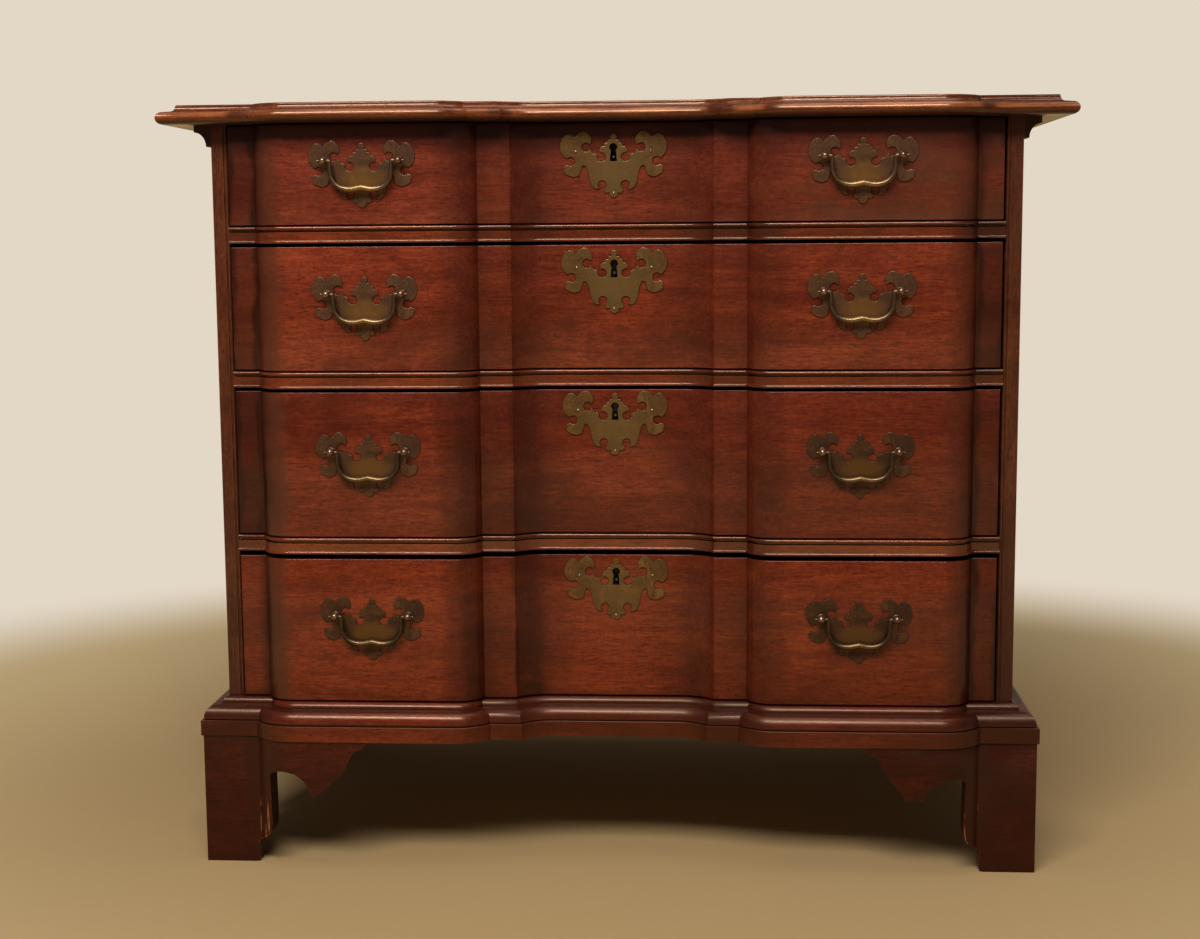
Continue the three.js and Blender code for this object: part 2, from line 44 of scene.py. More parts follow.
# Case
CASE_HALF = 409.5
INSIDE = 393
CASE_DEPTH = 466
CASE_TOP = 767.5
BASE_TOP = 173.2
FOOT_HEIGHT = 136
RAIL_HEIGHT = 17.3
TOP_THICKNESS = 20
OPENING_HEIGHTS = (103, 130.4, 153.6, 155.4)
CHEST_BACK = 472
SIDES = (("left", -1), ("right", 1))

# Blocked plan
FLAT_PROUD = 3
BLOCK_PROUD = 22
STRIP_PROUD = 3.5
HOLLOW_DEPTH = 12
HOLLOW_RADIUS = 45
DRAWER_LINE = {"proud": 0, "outer": 365, "inner": 136.2, "arris": 103, "radius": 30}
TOP_LINE = {"proud": 23, "outer": 373.5, "inner": 140, "arris": 110.5, "radius": 60}
BASE_LINE = {"proud": 24.2, "outer": 374, "inner": 127.5, "arris": 95.5, "radius": 50}

# Mouldings
TOP_SIDE_OVERHANG = 49.7
NOSE_HEIGHT = 12.6
NOSE_LEDGE = 5.6
NOSE_LEDGE_RISE = 0.8
LIP_RUN = 4.6
LIP_ROUND = 1.6
UNDERSIDE_TILT = -0.95
UNDERSIDE_AREA = 0.01
COVE_PROUD = 17.4
COVE_FOOT = 5.2
COVE_HEIGHT = 21.5
COVE_FILLET = 7
RAIL_DEPTH = 73
RAIL_BEAD = 3.5
RAIL_CREST = 1.5
RAIL_QUIRK = 2.5
QUIRK_SHARE = 0.6
BASE_BACK = 14
BEAD_PROUD = 5.8
BEAD_HEIGHT = 6.6
OVOLO_STEP = 12.4
OVOLO_PROUD = 21.6
OVOLO_QUIRK = 1.2
OVOLO_HEIGHT = 12.7
FASCIA_HEIGHT = 16.4
FASCIA_FILLET = 1.1
FASCIA_EASE = 0.5
BASE_FIT = 0.3

# Feet
FOOT_SET_BACK = 2
FOOT_BOARD = 20
FOOT_SPAN = 179
FOOT_EASE = 0.7
GLUE_BLOCK = 28
GLUE_LAP = 1
REAR_BOARD = 18
REAR_REACH = 130
REAR_HEEL = 53
REAR_KNEE = 80
REAR_KNEE_HEIGHT = 60

# Drawers
DRAWER_SIDE_GAP = 1.5
DRAWER_FOOT_GAP = 1.2
DRAWER_HEAD_GAPS = (1.3, 3.2, 3.1, 4.6)
FRONT_BACK = 23
FRONT_EDGE = 1
RIGHT_END_SHORT = 1.1
BOX_OUTER = 391.9
BOX_HEAD_GAP = 6
RUNNER_GAP = 0.3
TAIL_PITCH = 30
TAIL_LENGTH = 15
TAIL_PROUD = 0.6
TAIL_ROOT_SHARE = 0.27
TAIL_END_SHARE = 0.41
FEWEST_TAILS = 3

# Brass
PULL_CENTRE = 249.8
PULL_RISES = (13.2, 15, 13.8, 15.8)
PLATE_REACH = 54
PLATE_THICKNESS = 1.4
PLATE_EDGE = 0.5
PLATE_FOOT_SHARE = 0.775
BOLT_HALF = 38.1
POST_STANDOFF = 7.4
POST_BALL = 3.9
POST_NECK = 2.4
POST_COLLAR = 4.6
POST_COLLAR_HEIGHT = 1.4
POST_EASE = 0.5
POST_FILLET = 0.4
BAIL_PIN = 1.4
BAIL_PIN_END = 44.5
BAIL_PIN_EASE = 0.5
BAIL_ARM = 31
BAIL_DROP = 28.2
BAIL_ARM_RADIUS = 2.1
BAIL_GRIP_RADIUS = 2.9
NAIL_RADIUS = 1.6
NAIL_RISE = 1.3
NAIL_SUNK = 0.1
KEYHOLE_DROPS = (24.6, 19.2, 17.6, 17.8)
KEYHOLE_RISE = 4
KEYHOLE_SHIFT = 1.2
KEYHOLE_EYE = 3.9
KEYHOLE_SLOT = 2.5
KEYHOLE_FLARE = 3.6
KEYHOLE_LENGTH = 18

# Locks
LOCK_HALF = 33
LOCK_BELOW = 30
LOCK_ABOVE = 13
LOCK_HEAD_GAP = 2
LOCK_DEPTH = 7
LOCK_SKIP = 0.1
LOCK_EASE = 1.2
SCREW_RADIUS = 2.6
SCREW_RISE = 1.1
SCREW_INSET = 5
KEY_PIN_DROP = 9.5
KEY_PIN_SKIP = 0.2
KEY_PIN = ((0, 0), (1.5, 0), (1.5, 9), (1.1, 9.6), (0, 9.6))
NUT = ((0, 0), (4.2, 0), (4.4, 0.4), (4.4, 2.4), (4.0, 2.8), (1.9, 2.8), (1.9, 4.4), (1.6, 4.8), (0, 4.8))

# Steps of round shapes, and angles in degrees
ARC_STEPS = 14
NOSE_STEPS = 16
COVE_STEPS = 9
BEAD_STEPS = 8
EASE_STEPS = 4
BALL_STEPS = 12
DOME_STEPS = 5
KEYHOLE_STEPS = 20
CURVE_STEPS = 5
BAIL_STEPS = 6
BAIL_SIDES = 18
DOME_SIDES = 18
POST_SIDES = 28
PIN_SIDES = 16
NUT_SIDES = 6
PLATE_ARC_STEP = 14
FEWEST_PLATE_STEPS = 6
SHARP_ANGLE = 38
TOP_SHARP_ANGLE = 50
BRASS_SHARP_ANGLE = 35
LOCK_BEVEL_ANGLE = 40
FOOT_BEVEL_ANGLE = 55
FRONT_SKIP = 0.05
OVERRUN = 6
QUARTER = math.pi / 2


def place(x, y, z):
    """A point in millimetres from the case's front edge, as metres in the row frame."""
    return Vector((x * MM, (y - MIDDLE_Y) * MM, z * MM))


# Noise across a piece: scale, detail, roughness, distortion and offset
PATTERNS = {
    "cloud": ((7, 7, 9), 5, 0.66, 1.1, (5.5, 2.2, 6.1)),
    "mottle": ((240, 240, 240), 2, 0.6, 0.2, (8.7, 2.5, 6.4)),
    "stain": ((3.4, 3.4, 5.5), 5, 0.66, 1.4, (0.6, 8.2, 2.7)),
    "rubbed_edges": ((38, 38, 38), 4, 0.6, 0.4, (2.2, 9.1, 3.3)),
    "sheen": ((9, 9, 9), 3, 0.5, 0.3, (7.4, 1.1, 0.6)),
    "wander": ((6, 6, 11), 3, 0.6, 0.4, (2.9, 0.3, 7.2)),
    "broken": ((9, 9, 22), 4, 0.6, 0.5, (6.6, 3.3, 0.9)),
    "nose_patches": ((9, 9, 60), 4, 0.65, 0.6, (4.1, 6.8, 0.4)),
    "foot_cloud": ((14, 14, 20), 3, 0.6, 0.4, (0.9, 4.2, 6.1)),
    "torn": ((420, 60, 46), 3, 0.7, 0.5, (3.3, 5.2, 8.7)),
    "fibres": ((700, 60, 40), 3, 0.7, 0.4, (1.4, 0.2, 6.6)),
    "bloom": ((8, 8, 14), 4, 0.6, 0.6, (1.1, 5.9, 3.6)),
    "raw_stain": ((5, 5, 5), 4, 0.6, 0.5, (8.1, 8.3, 1.4)),
    "patina": ((48, 48, 48), 5, 0.62, 0.8, (1.9, 3.7, 0.2)),
    "scratches": ((420, 420, 420), 3, 0.6, 0.2, (2.6, 0.8, 4.4)),
    "floor": ((90, 90, 90), 4, 0.6, 0.3, (0, 0, 0)),
}
# Noise drawn out along the grain: scale along it and across it, then as above
GRAINS = {
    "figure": (3.2, 34, 4, 0.6, 1.2, (3.1, 7.7, 1.9)),
    "streak": (40, 430, 3, 0.7, 0.3, (9.2, 0.4, 5.3)),
    "pore": (95, 760, 2, 0.6, 0.2, (1.3, 4.4, 8.8)),
    "wave": (3, 16, 2, 0.5, 0, (0, 0, 0)),
    "rings": (1.2, 22, 5, 0.55, 1.2, (4.2, 1.7, 3.9)),
    "lines": (9, 320, 3, 0.6, 0.2, (0.7, 6.1, 2.8)),
}
# Where a change starts and ends, in metres or as a share, then its value at either end if not 0 and 1
SPREADS = {
    "edge_turn": (0.995, 0.86),
    "recess": (0.95, 0.35),
    "pore": (0.53, 0.68),
    "stain": (0.46, 0.68, 0.0, 0.72),
    "rubbed_edges": (0.7, 0.45),
    "raw_stain": (0.5, 0.8, 0.0, 0.4),
    "broken": (0.25, 0.7, 0.75, 1.08),
    "right_half": (-0.15, 0.32, 0.0, 0.27),
    "front_left": (0.1, -0.1, 0.84, 1.18),
    "front_low": (0.62, 0.2, 0.92, 1.3),
    "left_end": (-0.362, -0.37),
    "lowest_drawer": (0.335, 0.32),
    "left_end_low": (0.68, 0.4, 0.12, 0.22),
    "right_end": (0.362, 0.37),
    "second_drawer": (0.075, 0.065, 0.0, 0.34),
    "front_right": (0.1, 0.36),
    "front_right_low": (0.62, 0.4, 0.1, 0.27),
    # Painted shadow of the top's overhang on the top drawer: a faint fade, then a darker band under the
    # nosing
    "painted_top_shadow_fade": (0.728, 0.748, 0.0, 0.26),
    "painted_top_shadow": (0.7475, 0.7545, 0.0, 0.42),
    # On the nosing: a band of worn finish and painted light along its upper face
    "nose_above": (-0.0004, 0.0016),
    "nose_crest": (0.0066, 0.0052),
    "nose_patches": (0.4, 0.66, 0.15, 0.75),
    "nose_open": (0.5, 0.1),
    # Painted shade on the nosing: its lower half, the quirk behind it and its turns
    "nose_under": (0.0006, -0.0032, 0.0, 0.7),
    "nose_quirk": (0.0014, 0.0004, 0.0, 0.75),
    "nose_turn": (0.008, 0.004),
    # Painted shade under the base moulding's bead and ovolo
    "base_ledge_shade": (0.0022, 0.0008, 0.0, 0.85),
    "case_low": (0.42, 0.18, 0.0, 0.5),
    "foot_cloud": (0.3, 0.7, 0.6, 1.0),
    "foot_low": (0.095, 0.004, 0.0, 0.6),
    "chips_out": (0.377, 0.375),
    "chips_in": (0.345, 0.352),
    "chips_top": (0.076, 0.068),
    "chips_foot": (0.014, 0.02),
    "chips_front": (-0.2, -0.22),
    "chips_left": (0.05, -0.05),
    "torn": (0.53, 0.57),
    "split_edge": (0.0003, -0.0004),
    "fibres": (0.42, 0.52),
    # Painted reflection along the outer turns, stronger on the left
    "turn_reflection_left": (0.3, -0.3, 0.45, 1.0),
    # Bloom of the top drawer's finish
    "haze_right": (0.12, 0.24, 0.25, 1.0),
    "bloom": (0.42, 0.66, 0.1, 0.7),
    # Painted light: the floor grows paler away from the chest
    "painted_light_floor": (0.45, 1.5),
    "backdrop": (1.1, 1.6),
}


class Tree:
    """Short calls for building the node tree of a material or of the world."""

    def __init__(self, owner):
        owner.use_nodes = True
        self.owner = owner
        self.tree = owner.node_tree

    def node(self, kind, inputs=None, **settings):
        made = self.tree.nodes.new("ShaderNode" + kind)
        for key, value in settings.items():
            setattr(made, key, value)
        for key, value in (inputs or {}).items():
            self.put(made.inputs[key], value)
        return made

    def put(self, socket, value):
        if isinstance(value, bpy.types.NodeSocket):
            self.tree.links.new(value, socket)
        else:
            socket.default_value = value

    def math(self, operation, a, b=0.0, clamp=False):
        return self.node("Math", {0: a, 1: b}, operation=operation, use_clamp=clamp).outputs[0]

    def chain(self, operation, values, clamp=False):
        made, *others = values
        for value in others:
            made = self.math(operation, made, value, clamp)
        return made

    def times(self, *values):
        return self.chain("MULTIPLY", values)

    def largest(self, *values):
        return self.chain("MAXIMUM", values)

    def added(self, *values):
        """The sum of the values, kept between 0 and 1."""
        return self.chain("ADD", values, True)

    def less(self, a, b):
        return self.math("SUBTRACT", a, b)

    def weighted(self, *pairs):
        """The sum of values, each times its weight."""
        return self.chain("ADD", [self.times(value, weight) for value, weight in pairs])

    def distance(self, a, b):
        return self.math("ABSOLUTE", self.less(a, b))

    def between(self, value, low, high, to_low=0.0, to_high=1.0):
        inputs = {0: value, 1: low, 2: high, 3: to_low, 4: to_high}
        return self.node("MapRange", inputs, interpolation_type="SMOOTHSTEP").outputs[0]

    def spread(self, value, name):
        return self.between(value, *SPREADS[name])

    def object_point(self):
        return self.node("TexCoord").outputs["Object"]

    def place(self):
        """X, Y and Z in the piece's own frame, in metres."""
        return self.node("SeparateXYZ", {0: self.object_point()}).outputs

    def mapped(self, scale, offset):
        inputs = {"Vector": self.object_point(), "Location": offset, "Scale": scale}
        return self.node("Mapping", inputs).outputs[0]

    def length(self, vector):
        return self.node("VectorMath", {0: vector}, operation="LENGTH").outputs["Value"]

    def noise(self, scale, detail, rough, distortion, offset):
        inputs = {"Vector": self.mapped(scale, offset), "Scale": 1.0, "Detail": detail}
        inputs |= {"Roughness": rough, "Distortion": distortion}
        return self.node("TexNoise", inputs).outputs[0]

    def pattern(self, name):
        return self.noise(*PATTERNS[name])

    def patches(self, name):
        """The pattern of a name, through the spread of that name."""
        return self.spread(self.pattern(name), name)

    def grain(self, name, axis):
        along, across, *rest = GRAINS[name]
        return self.noise(tuple(along if index == axis else across for index in range(3)), *rest)

    def ramp(self, value, stops, interpolation="LINEAR"):
        made = self.node("ValToRGB", {0: value})
        band = made.color_ramp
        band.interpolation = interpolation
        while len(band.elements) < len(stops):
            band.elements.new(0.5)
        for element, (position, colour) in zip(band.elements, stops):
            element.position = position
            element.color = (*colour, 1) if isinstance(colour, tuple) else (colour, colour, colour, 1)
        return made.outputs[0]

    def mix(self, share, a, b):
        made = self.node("Mix", {0: share}, data_type="RGBA", blend_type="MIX")
        for index, colour in ((6, a), (7, b)):
            self.put(made.inputs[index], colour if isinstance(colour, bpy.types.NodeSocket) else (*colour, 1))
        return made.outputs[2]

    def toned(self, patterns, shares, steps, tones):
        """The tones over a sum of patterns, each with its share."""
        return self.ramp(self.weighted(*zip(patterns, shares)), list(zip(steps, tones)))

    def bump(self, height, distance, strength, normal=None):
        inputs = {"Height": height, "Distance": distance, "Strength": strength}
        if normal is not None:
            inputs["Normal"] = normal
        return self.node("Bump", inputs).outputs[0]

    def worn_edges(self, radius):
        """1 on arrises that stand proud, 0 on the flats."""
        bevel = self.node("Bevel", {"Radius": radius}, samples=6).outputs[0]
        inputs = {0: bevel, 1: self.node("NewGeometry").outputs["Normal"]}
        alike = self.node("VectorMath", inputs, operation="DOT_PRODUCT").outputs["Value"]
        return self.spread(alike, "edge_turn")

    def recesses(self, distance):
        """1 in corners and quirks, 0 in the open."""
        open_air = self.node("AmbientOcclusion", {"Distance": distance}, samples=8).outputs["AO"]
        return self.spread(open_air, "recess")

    def finish(self, colour, roughness, normal=None, **constants):
        inputs = self.tree.nodes["Principled BSDF"].inputs
        self.put(inputs["Base Color"], colour)
        self.put(inputs["Roughness"], roughness)
        if normal is not None:
            self.put(inputs["Normal"], normal)
        for key, value in constants.items():
            inputs[key.replace("_", " ")].default_value = value
        return self.owner

    def backed(self, shown, seen, away=1):
        """The shader `shown`. To the camera, `seen` takes its place by the share `away`."""
        path = self.node("LightPath").outputs["Is Camera Ray"]
        inputs = {0: self.times(away, path), 1: self.tree.nodes[shown].outputs[0], 2: seen.outputs[0]}
        return self.node("MixShader", inputs).outputs[0]


def new_tree(name):
    return Tree(bpy.data.materials.new(name))


def scaled(tone, level):
    return tuple(part * level for part in tone)


def scaled_all(tones, level):
    return [scaled(tone, level) for tone in tones]


# Tones, dark to light where there are three
RED_TONES = ((0.096, 0.0132, 0.004), (0.164, 0.0245, 0.0066), (0.246, 0.0435, 0.0108))
RAIL_TONES = ((0.09, 0.0135, 0.0045), (0.158, 0.025, 0.008), (0.23, 0.043, 0.013))
BASE_TONES = ((0.064, 0.0082, 0.0034), (0.11, 0.0145, 0.0054), (0.172, 0.0255, 0.0086))
TOP_TONES = ((0.055, 0.0125, 0.0048), (0.12, 0.027, 0.0095), (0.23, 0.062, 0.02))
CASE_TONES = ((0.044, 0.011, 0.0045), (0.08, 0.02, 0.0078), (0.126, 0.036, 0.0135))
FOOT_TONES = ((0.023, 0.0026, 0.0014), (0.042, 0.0045, 0.0022), (0.067, 0.0084, 0.0038))
POPLAR_TONES = ((0.34, 0.22, 0.115), (0.5, 0.35, 0.19), (0.62, 0.46, 0.28))
# Pale raw wood of the top's underside, made paler still: painted light from below
LIT_UNDERSIDE_TONES = ((0.68, 0.6, 0.5), (0.78, 0.7, 0.6), (0.84, 0.77, 0.67))
WEAR = (0.36, 0.115, 0.04)
# Worn finish of the top, also painted light along the nosing's upper face
TOP_WEAR_AND_LIGHT = (0.35, 0.112, 0.036)
FOOT_WEAR = (0.4, 0.12, 0.035)
# Tone of every darkened part of the woods: painted shade in recesses, under the top and on the nosing, and
# the other darker parts
DARKENING_AND_SHADE_TONE = (0.022, 0.0036, 0.0015)
# Tone of the painted reflection on the turns and of the top drawer's bloom
REFLECTION_AND_BLOOM_TONE = (0.084, 0.03, 0.0145)
# Each drawer's levels of red, green and blue: its own tone, and in the raised blue a painted grey sheen of
# reflection, most on the top drawer
FRONT_TONE_AND_SHEEN_LEVELS = ((0.97, 1.04, 1.9), (0.96, 1.0, 1.4), (0.79, 0.79, 1.1), (0.95, 0.95, 1.05))
# The cove under the top is a dark copy of the case's wood: darker end grain, and painted shadow of the top
COVE_SHADE_LEVEL = 0.3
# Half width of the underside's dark middle, painted shadow under the top's front, and its soft edge
SHADED_UNDERSIDE_HALF = 0.427
UNDERSIDE_SHADE_EDGE = 0.006

BRASS_TONES = ((0.063, 0.03, 0.017), (0.128, 0.06, 0.032), (0.235, 0.113, 0.052))
PLATE_GOLD = (0.22, 0.105, 0.03)
PLATE_LEVELS = {"left": (0.92, 0.94, 0.78, 0.65), "right": (0.9, 0.84, 0.58, 0.55)}
SHIELD_TONES = ((0.074, 0.038, 0.014), (0.146, 0.076, 0.027), (0.262, 0.146, 0.052))
SHIELD_GOLD = (0.2, 0.13, 0.045)
BAIL_TONES = ((0.06, 0.036, 0.02), (0.12, 0.078, 0.042), (0.22, 0.15, 0.08))
BAIL_GOLD = (0.25, 0.16, 0.068)
BAIL_EDGE = (0.4, 0.3, 0.17)
BAIL_LEVELS = (1.0, 0.85, 0.62, 0.55)
NAIL_TONES = ((0.16, 0.11, 0.06), (0.3, 0.22, 0.13), (0.5, 0.4, 0.26))
POST_TONES = ((0.11, 0.058, 0.036), (0.22, 0.125, 0.08), (0.38, 0.23, 0.15))
IRON_TONES = ((0.03, 0.028, 0.026), (0.075, 0.07, 0.064), (0.16, 0.15, 0.14))

# Shares of the patterns in a surface, and where its three tones lie
WOOD_SHARES = (0.34, 0.3, 0.16, 0.2)
WOOD_STEPS = (0.4, 0.5, 0.61)
RAW_SHARES = (0.6, 0.4)
RAW_STEPS = (0.33, 0.5, 0.66)
METAL_SHARES = (0.72, 0.28)
METAL_STEPS = (0.34, 0.5, 0.68)

# How much of a change shows, and its level beside the darkest tone
PORE_SHARE = 0.6
PORE_LEVEL = 0.4
STAIN_LEVEL = 0.6
# Share of the painted shade in the woods' corners and quirks
RECESS_SHADE_SHARE = 0.8
# Reach in metres, share and level of the darkening in corners
RAW_CORNERS = (0.02, 0.45, 0.35)
METAL_GRIME = (0.004, 0.7, 0.35)
# Radius in metres of the arrises that wear, and their share
METAL_WEAR = (0.0005, 0.7)
WOOD_EDGE = 0.0012
# Radius in metres within which a plate's heart is fully gilt
HEART_RADIUS = 0.006
# Limits of a pattern that rules the roughness, and what pores and the darker parts, painted shade among them,
# add to it
SHEEN_LIMITS = (0.3, 0.75)
GLOSS_LIMITS = (0.3, 0.7)
RAW_GLOSS = (0.7, 0.85)
PORE_DULL = 0.08
SHADE_DULL = 0.12
COAT_LEVEL = 0.26
COAT_ROUGHNESS = 0.14
# Distance and strength of each bump
PORE_BUMP = (0.00003, 0.6)
WAVE_BUMP = (0.0004, 0.2)
RAW_BUMP = (0.00015, 0.6)
METAL_BUMP = (0.0003, 0.22)

# Darkness by the distance from the middle of a front, in metres
FRONT_SHADES = (
    (0.0, 0.0), (0.03, 0.04), (0.06, 0.28), (0.085, 0.6), (0.103, 0.56), (0.107, 0.38), (0.12, 0.4),
    (0.136, 0.5), (0.152, 0.58), (0.168, 0.38), (0.184, 0.05), (0.33, 0.0), (0.348, 0.24), (0.36, 0.55),
    (0.366, 0.9), (0.373, 0.42), (0.386, 0.45), (0.393, 0.85),
)
BASE_SHADES = (
    (0.0, 0.6), (0.05, 0.6), (0.075, 0.66), (0.095, 0.78), (0.127, 0.74), (0.145, 0.62), (0.17, 0.2),
    (0.2, 0.0), (0.32, 0.0), (0.34, 0.3), (0.37, 0.78), (0.4, 0.86), (0.44, 0.92),
)
FOOT_SHADES = ((0.0, 0.0), (0.325, 0.0), (0.345, 0.4), (0.365, 0.75), (0.384, 0.75), (0.39, 0.1), (0.44, 0.1))
RAIL_SHADES = (
    (0.0, 0.0), (0.05, 0.12), (0.075, 0.55), (0.103, 0.66), (0.11, 0.5), (0.136, 0.58), (0.155, 0.54),
    (0.18, 0.1), (0.33, 0.05), (0.355, 0.45), (0.37, 0.66), (0.393, 0.6),
)
# On the nosing: painted shade at its turns, which also holds back the worn and lit band there
NOSE_SHADES = (
    (0.0, 0.0), (0.09, 0.0), (0.104, 0.6), (0.116, 0.5), (0.126, 0.0), (0.148, 0.05), (0.156, 0.45),
    (0.17, 0.25), (0.19, 0.0), (0.35, 0.0), (0.372, 0.5), (0.39, 0.15), (0.45, 0.1),
)
# Strength of the painted reflection along the outer turns
TURN_REFLECTION_STOPS = ((0.33, 0.0), (0.344, 0.55), (0.358, 0.6), (0.366, 0.1))
SHADE_REACH = 0.45
WANDER = 0.03
LOWEST_END_SHARE = 0.6
SECOND_DRAWER_LEVEL = 0.57
NOSE_MIDDLE = (CASE_TOP + NOSE_HEIGHT / 2) * MM
NOSE_QUIRK_LEVEL = (CASE_TOP + NOSE_HEIGHT + 0.5) * MM
BASE_LEDGES = ((BASE_TOP - BEAD_HEIGHT) * MM, (FOOT_HEIGHT + FASCIA_HEIGHT + FASCIA_FILLET) * MM)
CHIP_EDGE = 0.0032
# Splits up the left front foot, in metres: middle, widest half width, top and foot
SPLITS = ((0.3623, 0.0012, 0.076, 0.037), (0.3662, 0.0007, 0.057, 0.032))
SPLIT_TAPER = 0.022
SPLIT_POINT = -0.0004
SPLIT_FOOT_BELOW = 0.003
SPLIT_FOOT_ABOVE = 0.004


def from_middle(tree, stops):
    """A level by the distance from the middle of a front, its limits wandering a little."""
    wander = tree.times(tree.less(tree.pattern("wander"), 0.5), WANDER)
    across = tree.math("ADD", tree.math("ABSOLUTE", tree.place()[0]), wander)
    share = tree.math("DIVIDE", across, SHADE_REACH, clamp=True)
    return tree.ramp(share, [(away / SHADE_REACH, level) for away, level in stops], "EASE")


def plan_shade(stops):
    """Darker where a front turns in, in the hollow's ends and a little on the right."""

    def shade(tree):
        value = tree.times(from_middle(tree, stops), tree.patches("broken"))
        return tree.added(value, tree.spread(tree.place()[0], "right_half"))

    return shade


def front_shade(tree):
    """Darker at the turns, towards the floor and at the left end; under the top, a painted shadow of its
    overhang.
    """
    across, _, level = tree.place()
    left_end = tree.spread(across, "left_end")
    lowest_end = tree.times(left_end, tree.spread(level, "lowest_drawer"))
    from_second = tree.distance(level, SECOND_DRAWER_LEVEL)
    turns = tree.times(
        from_middle(tree, FRONT_SHADES),
        tree.patches("broken"),
        tree.spread(across, "front_left"),
        tree.spread(level, "front_low"),
        tree.less(1.0, tree.times(lowest_end, LOWEST_END_SHARE)),
    )
    return tree.added(
        turns,
        tree.times(tree.spread(level, "left_end_low"), tree.less(left_end, lowest_end)),
        tree.times(tree.spread(across, "right_end"), tree.spread(from_second, "second_drawer")),
        tree.times(tree.spread(across, "front_right"), tree.spread(level, "front_right_low")),
        # Painted shadow of the top's overhang
        tree.spread(level, "painted_top_shadow_fade"),
        tree.spread(level, "painted_top_shadow"),
    )


def above_nose(tree):
    """Height over the middle of the nosing."""
    return tree.less(tree.place()[2], NOSE_MIDDLE)


def nose_wear_and_light(tree):
    """Finish rubbed thin along the upper face of the nosing, in long patches, with painted light where that
    face is lit; less at the shaded turns.
    """
    level = above_nose(tree)
    band = tree.times(tree.spread(level, "nose_above"), tree.spread(level, "nose_crest"))
    turns = from_middle(tree, NOSE_SHADES)
    return tree.times(band, tree.times(tree.patches("nose_patches"), tree.spread(turns, "nose_open")))


def nose_shade(tree):
    """Painted shade: the nosing's lower half, the quirk behind it and its turns are dark."""
    level = above_nose(tree)
    quirk = tree.distance(tree.place()[2], NOSE_QUIRK_LEVEL)
    turns = tree.times(from_middle(tree, NOSE_SHADES), tree.spread(level, "nose_turn"))
    return tree.largest(tree.spread(level, "nose_under"), tree.spread(quirk, "nose_quirk"), turns)


def base_shade(tree):
    """Darker turns, and painted shade along the two ledges of the base moulding, under its bead and its
    ovolo.
    """
    level = tree.place()[2]
    # Painted shade on the ledges under the bead and the ovolo
    ledges = [tree.spread(tree.distance(level, ledge), "base_ledge_shade") for ledge in BASE_LEDGES]
    return tree.largest(plan_shade(BASE_SHADES)(tree), *ledges)


def case_shade(tree):
    """The case is darker on the right and towards the base."""
    across, _, level = tree.place()
    return tree.added(tree.spread(across, "right_half"), tree.spread(level, "case_low"))


def foot_shade(tree):
    """Feet darken towards the floor and in the turn beside the end flat."""
    cloud = tree.patches("foot_cloud")
    low = tree.times(tree.spread(tree.place()[2], "foot_low"), cloud)
    return tree.largest(low, tree.times(from_middle(tree, FOOT_SHADES), cloud))


def foot_chips(tree):
    """Splinters off the inner edges of the front feet and splits in the left one, down to bare wood."""
    side, depth, rise = tree.place()
    across = tree.math("ABSOLUTE", side)
    front = tree.spread(depth, "chips_front")
    where = tree.times(tree.spread(across, "chips_out"), tree.spread(across, "chips_in"))
    level = tree.times(tree.spread(rise, "chips_top"), tree.spread(rise, "chips_foot"))
    edges = tree.times(where, level, front, tree.worn_edges(CHIP_EDGE), tree.patches("torn"))
    splits = []
    for middle, widest, top, foot in SPLITS:
        half_width = tree.between(rise, top, top - SPLIT_TAPER, SPLIT_POINT, widest)
        opened = tree.spread(tree.less(tree.distance(across, middle), half_width), "split_edge")
        foot_end = tree.between(rise, foot - SPLIT_FOOT_BELOW, foot + SPLIT_FOOT_ABOVE)
        splits.append(tree.times(opened, foot_end))
    left = tree.spread(side, "chips_left")
    return tree.largest(edges, tree.times(tree.largest(*splits), left, front, tree.patches("fibres")))


def painted_turn_reflection(tree):
    """Painted reflection, brown, along the outer turn of each block, stronger on the left."""
    return tree.times(from_middle(tree, TURN_REFLECTION_STOPS), tree.spread(tree.place()[0], "turn_reflection_left"))


def turn_reflection_and_bloom(tree):
    """The painted reflection on the turns, and the top drawer's finish bloomed over its right end and in
    clouds elsewhere.
    """
    right = tree.spread(tree.place()[0], "haze_right")
    return tree.largest(painted_turn_reflection(tree), tree.times(right, tree.patches("bloom")))


